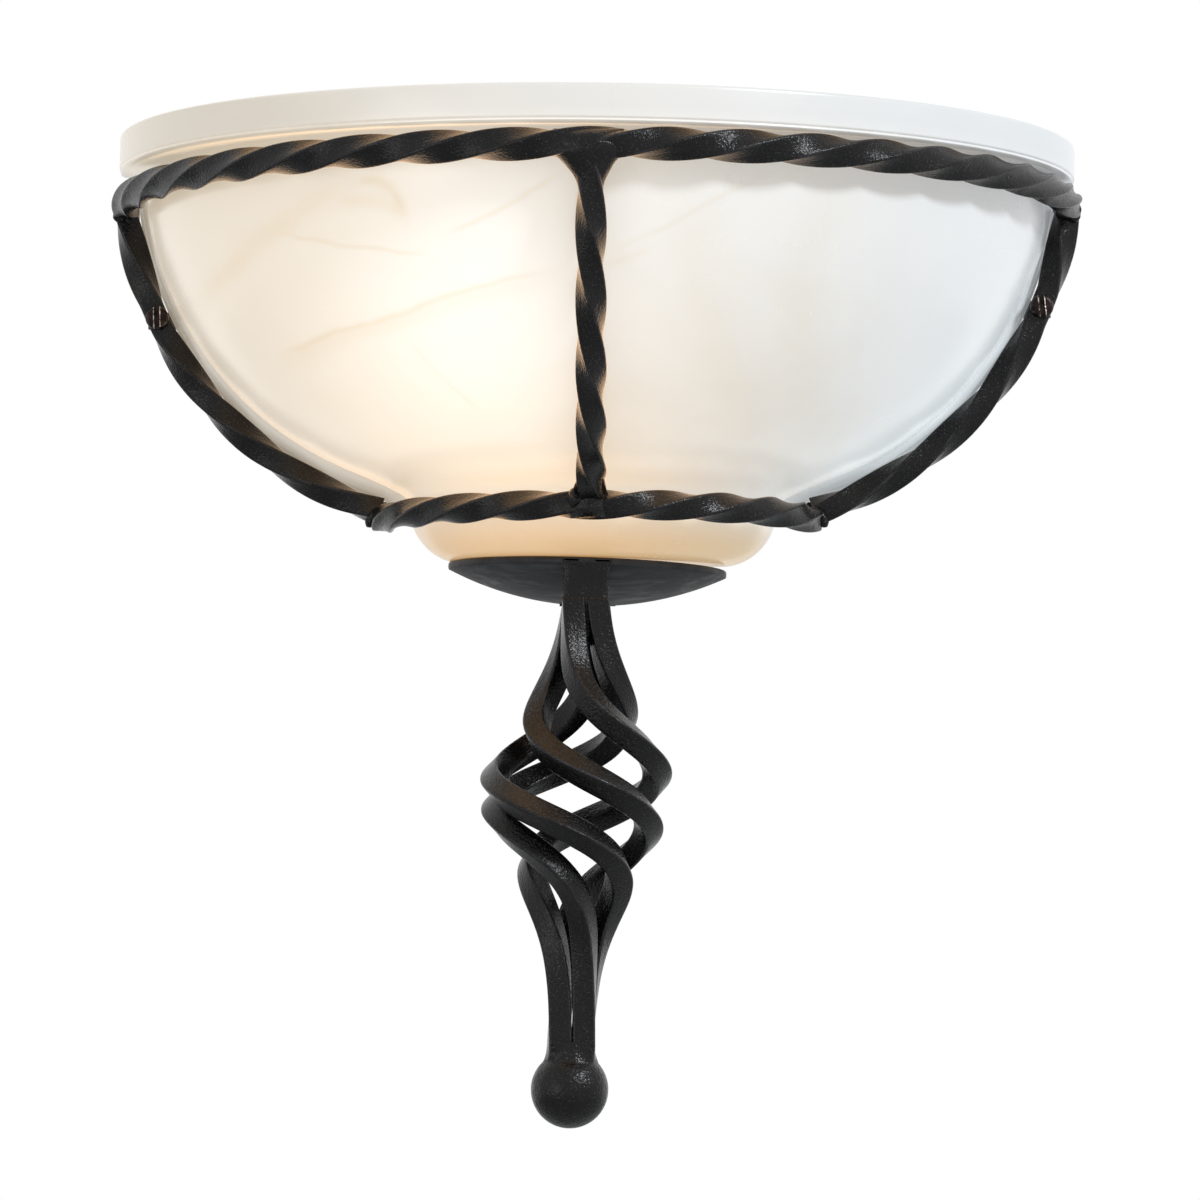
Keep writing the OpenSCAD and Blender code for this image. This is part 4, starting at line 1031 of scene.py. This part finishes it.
def bead(name, path, radii, seed):
    """Bead of weld along a path, its thickness uneven and its ripples drawn close together."""
    points, steps, around, ripple = [], 46, 20, 2.2
    for i in range(steps + 1):
        t = i / steps
        m = bezier(path, t)
        way = (bezier(path, min(1, t + 0.01)) - bezier(path, max(0, t - 0.01))).normalized()
        a = way.cross(vec(0.31, 0.83, 0.12)).normalized()
        b = way.cross(a)
        r = radii[0] * (1 - t) + radii[1] * t
        r *= sqrt(max(0.0, 1 - (2 * t - 1) ** 8)) * (1 + 0.05 * sin(tau * t * steps / ripple / 4))
        for j in range(around):
            u = tau * j / around
            out = cos(u) * a + sin(u) * b
            points.append(m + out * (max(r, 0.02) * (1 + 0.22 * waver(m + out * r, 3.0, seed))))
    return mesh_of(name, points, ring_faces(steps + 1, around), [0.0] * len(points))


def make_fillet(name, hoop_z, way, run, left, right, deep, seed, sunk=4.8, square=2, fade=1.6):
    """Weld metal over the front of a hoop that runs into the front bar, up or down from it."""
    points, rings, around = [], 40, 44
    half_w, half_deep, bar_from = 4.0, 4.2, 3.4  # the front bar under it, and where it leaves the hoop
    for i in range(rings + 1):
        s = -sunk + (run + sunk) * i / rings  # height from the middle of the hoop, towards the bar
        z = hoop_z + way * s
        under = min(1.0, max(0.0, (s - bar_from) / (run - bar_from)))
        over = min(1.0, max(0.0, (1 - s) / (1 + sunk)))
        on_curve = min(max(z, CURVE_FOOT.y), CURVE_TOP.y - 0.5)
        middle = vec(FRONT_BAR_X, -curve(crossing(lambda t: curve(t).y - on_curve)).x, z)
        near = (1 - under) ** 2.3
        depth = (half_deep + deep * (1 - under) ** fade) * sqrt(max(0.02, 1 - over ** square))
        for j in range(around):
            x, y = cos(tau * j / around), sin(tau * j / around)
            p = vec((half_w + (right if x > 0 else left) * near) * x, depth * y, 0)
            points.append(middle + p * (1 + 0.06 * waver(middle + p, 4.5, seed)))
    return mesh_of(name, points, ring_faces(rings + 1, around), [0.0] * len(points))


iron(make_fillet("weld_front_bar_top", UPPER_HOOP_Z, -1, 18, 9, 7, 1.9, 21), WELD_POWDER)
iron(make_fillet("weld_front_bar_foot", LOWER_HOOP_Z, 1, 15, 3.2, 2.0, 2.9, 22, 4.9, 4, 0.9), WELD_POWDER)
iron(soft_lump("weld_front_bar_bump", (FRONT_BAR_X - 5.4, -LOWER_HOOP_R - 3.6, LOWER_HOOP_Z + 2.2),
               (3.0, 3.0, 3.6), 3), WELD_POWDER)

# Beads round the ends of the hoops: (hoop, place of the right end, path from it, radii, seed)
HOOP_BEADS = (
    ("lower", (LOWER_HOOP_R - 0.6, -HOOP_BACK + 0.8, LOWER_HOOP_Z),
     ((-2.5, -2, 3.4), (3, 0, 3.6), (4.6, 0.6, 1), (4.2, 1.0, -2.6)), (1.5, 1.9), 25),
    ("upper", (UPPER_HOOP_R - 0.2, -HOOP_BACK + 0.6, UPPER_HOOP_Z),
     ((-3.2, -1.2, 3.0), (3.6, 0, 3.4), (3.7, 0.4, -2), (1.5, 0.8, -5.6)), (1.6, 2.1), 28))
for side, word in zip(SIDES, SIDE_WORDS):
    for hoop, (r, y, z), path, radii, seed in HOOP_BEADS:
        spots = [vec(side * r, y, z) + vec(side * dx, dy, dz) for dx, dy, dz in path]
        iron(bead(f"weld_{hoop}_hoop_{word}", spots, radii, seed + side), WELD_POWDER)


# ---- pieces that keep their solids ----

def dress(node_name, finish, edge_mm):
    """Keeps a solid and gives it a finish and soft edges."""
    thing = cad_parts[node_name]
    while thing.data.materials and len(thing.material_slots) > 1:
        thing.data.materials.pop()
    if not thing.material_slots:
        thing.data.materials.append(finish)
    for slot in thing.material_slots:
        slot.link = "OBJECT"
        slot.material = finish
    if edge_mm:
        soft = thing.modifiers.new("soft edges", "BEVEL")
        soft.width, soft.segments, soft.limit_method = edge_mm * MM, 2, "ANGLE"
        soft.angle_limit = radians(32)


for node_name, finish, edge_mm in (
        ("lower_back_rail", BLACK_POWDER, 0.6), ("dish_strap", BLACK_POWDER, 0.5),
        ("wall_plate", BLACK_POWDER, 0.25), ("holder_bracket", ZINC, 0.3),
        ("bracket_screws", BRIGHT_CAP, 0.15), ("nipple", LAMP_BRASS, 0.2), ("nipple_nut", LAMP_BRASS, 0.3),
        ("lampholder", PORCELAIN, 0.4), ("thread_shell", LAMP_BRASS, 0.12),
        ("centre_contact", LAMP_BRASS, 0.15), ("terminal_block", PORCELAIN, 0.4),
        ("terminal_screws", LAMP_BRASS, 0.1), ("earth_screw", LAMP_BRASS, 0.15),
        ("cable_grommet", RUBBER, 0.4), ("lead_live", LEAD_BROWN, 0.0), ("lead_neutral", LEAD_BLUE, 0.0),
        ("bulb_glass", BULB_GLASS, 0.0), ("bulb_cap", BRIGHT_CAP, 0.2), ("bulb_insulator", BLACK_GLASS, 0.1),
        ("bulb_contact", LAMP_BRASS, 0.15)):
    dress(node_name, finish, edge_mm)


# ---- floor, light and camera ----

def background_world():
    """Even grey light all round, with white behind the object."""
    world = bpy.data.worlds.new("studio")
    bpy.context.scene.world = world
    world.use_nodes = True
    tree = world.node_tree
    tree.nodes.clear()
    path = node("LightPath", {}, tree).outputs
    seen = math("MAXIMUM", path["Is Camera Ray"], path["Is Transmission Ray"])
    seen = math("MAXIMUM", seen, path["Is Glossy Ray"])
    soft = node("Background", {"Color": (0.93, 0.96, 1.0, 1), "Strength": 0.35}, tree)
    white = node("Background", {"Color": (1, 1, 1, 1)}, tree)
    both = node("MixShader", {0: seen, 1: soft.outputs[0], 2: white.outputs[0]})
    out = node("OutputWorld", {}, tree)
    tree.links.new(both.outputs[0], out.inputs["Surface"])


def studio_floor(z=-620, half=1500):
    """Floor that the camera sees through from below."""
    finish, tree = new_finish("pale floor", Roughness=0.7, Base_Color=rgb(240, 240, 238))
    seen = node("LightPath", {}, tree).outputs["Is Camera Ray"]
    behind = node("NewGeometry", {}, tree).outputs["Backfacing"]
    clear = node("BsdfTransparent", {}, tree)
    both = node("MixShader", {0: times(seen, behind),
                              1: tree.nodes["Principled BSDF"].outputs[0], 2: clear.outputs[0]})
    tree.links.new(both.outputs[0], tree.nodes["Material Output"].inputs["Surface"])
    floor = mesh_of("floor", [(-half, -half, z), (half, -half, z), (half, half, z), (-half, half, z)],
                    [(0, 1, 2, 3)])
    floor.data.materials.append(finish)


def softbox(name, place, size, power, colour):
    lamp = bpy.data.lights.new(name, "AREA")
    lamp.shape, lamp.size, lamp.energy, lamp.color = "DISK", size, power, colour
    thing = new_object(name, lamp)
    thing.location = place
    thing.rotation_euler = (vec(0, -0.05, -0.08) - thing.location).to_track_quat("-Z", "Y").to_euler()


background_world()
studio_floor()
softbox("high_right", (1.5, -1.5, 1.2), 0.4, 38, (0.92, 0.96, 1.0))
softbox("low_left", (-1.6, -1.7, -0.1), 1.1, 6, (1.0, 0.98, 0.95))

EYE = vec(0.2, -2224.9, -262.3) * MM
EYE_UP, EYE_SIDE = radians(4.0687), radians(0.023)
FOCAL_PX, FRAME_PX = 6213.8, 1200

camera = bpy.data.cameras.new("camera")
camera.sensor_width = 36
camera.lens = FOCAL_PX / FRAME_PX * camera.sensor_width
eye = new_object("camera", camera)
eye.location = EYE
eye.rotation_euler = (pi / 2 + EYE_UP, 0, -EYE_SIDE)
bpy.context.scene.camera = eye
bpy.context.scene.view_settings.view_transform = "Standard"
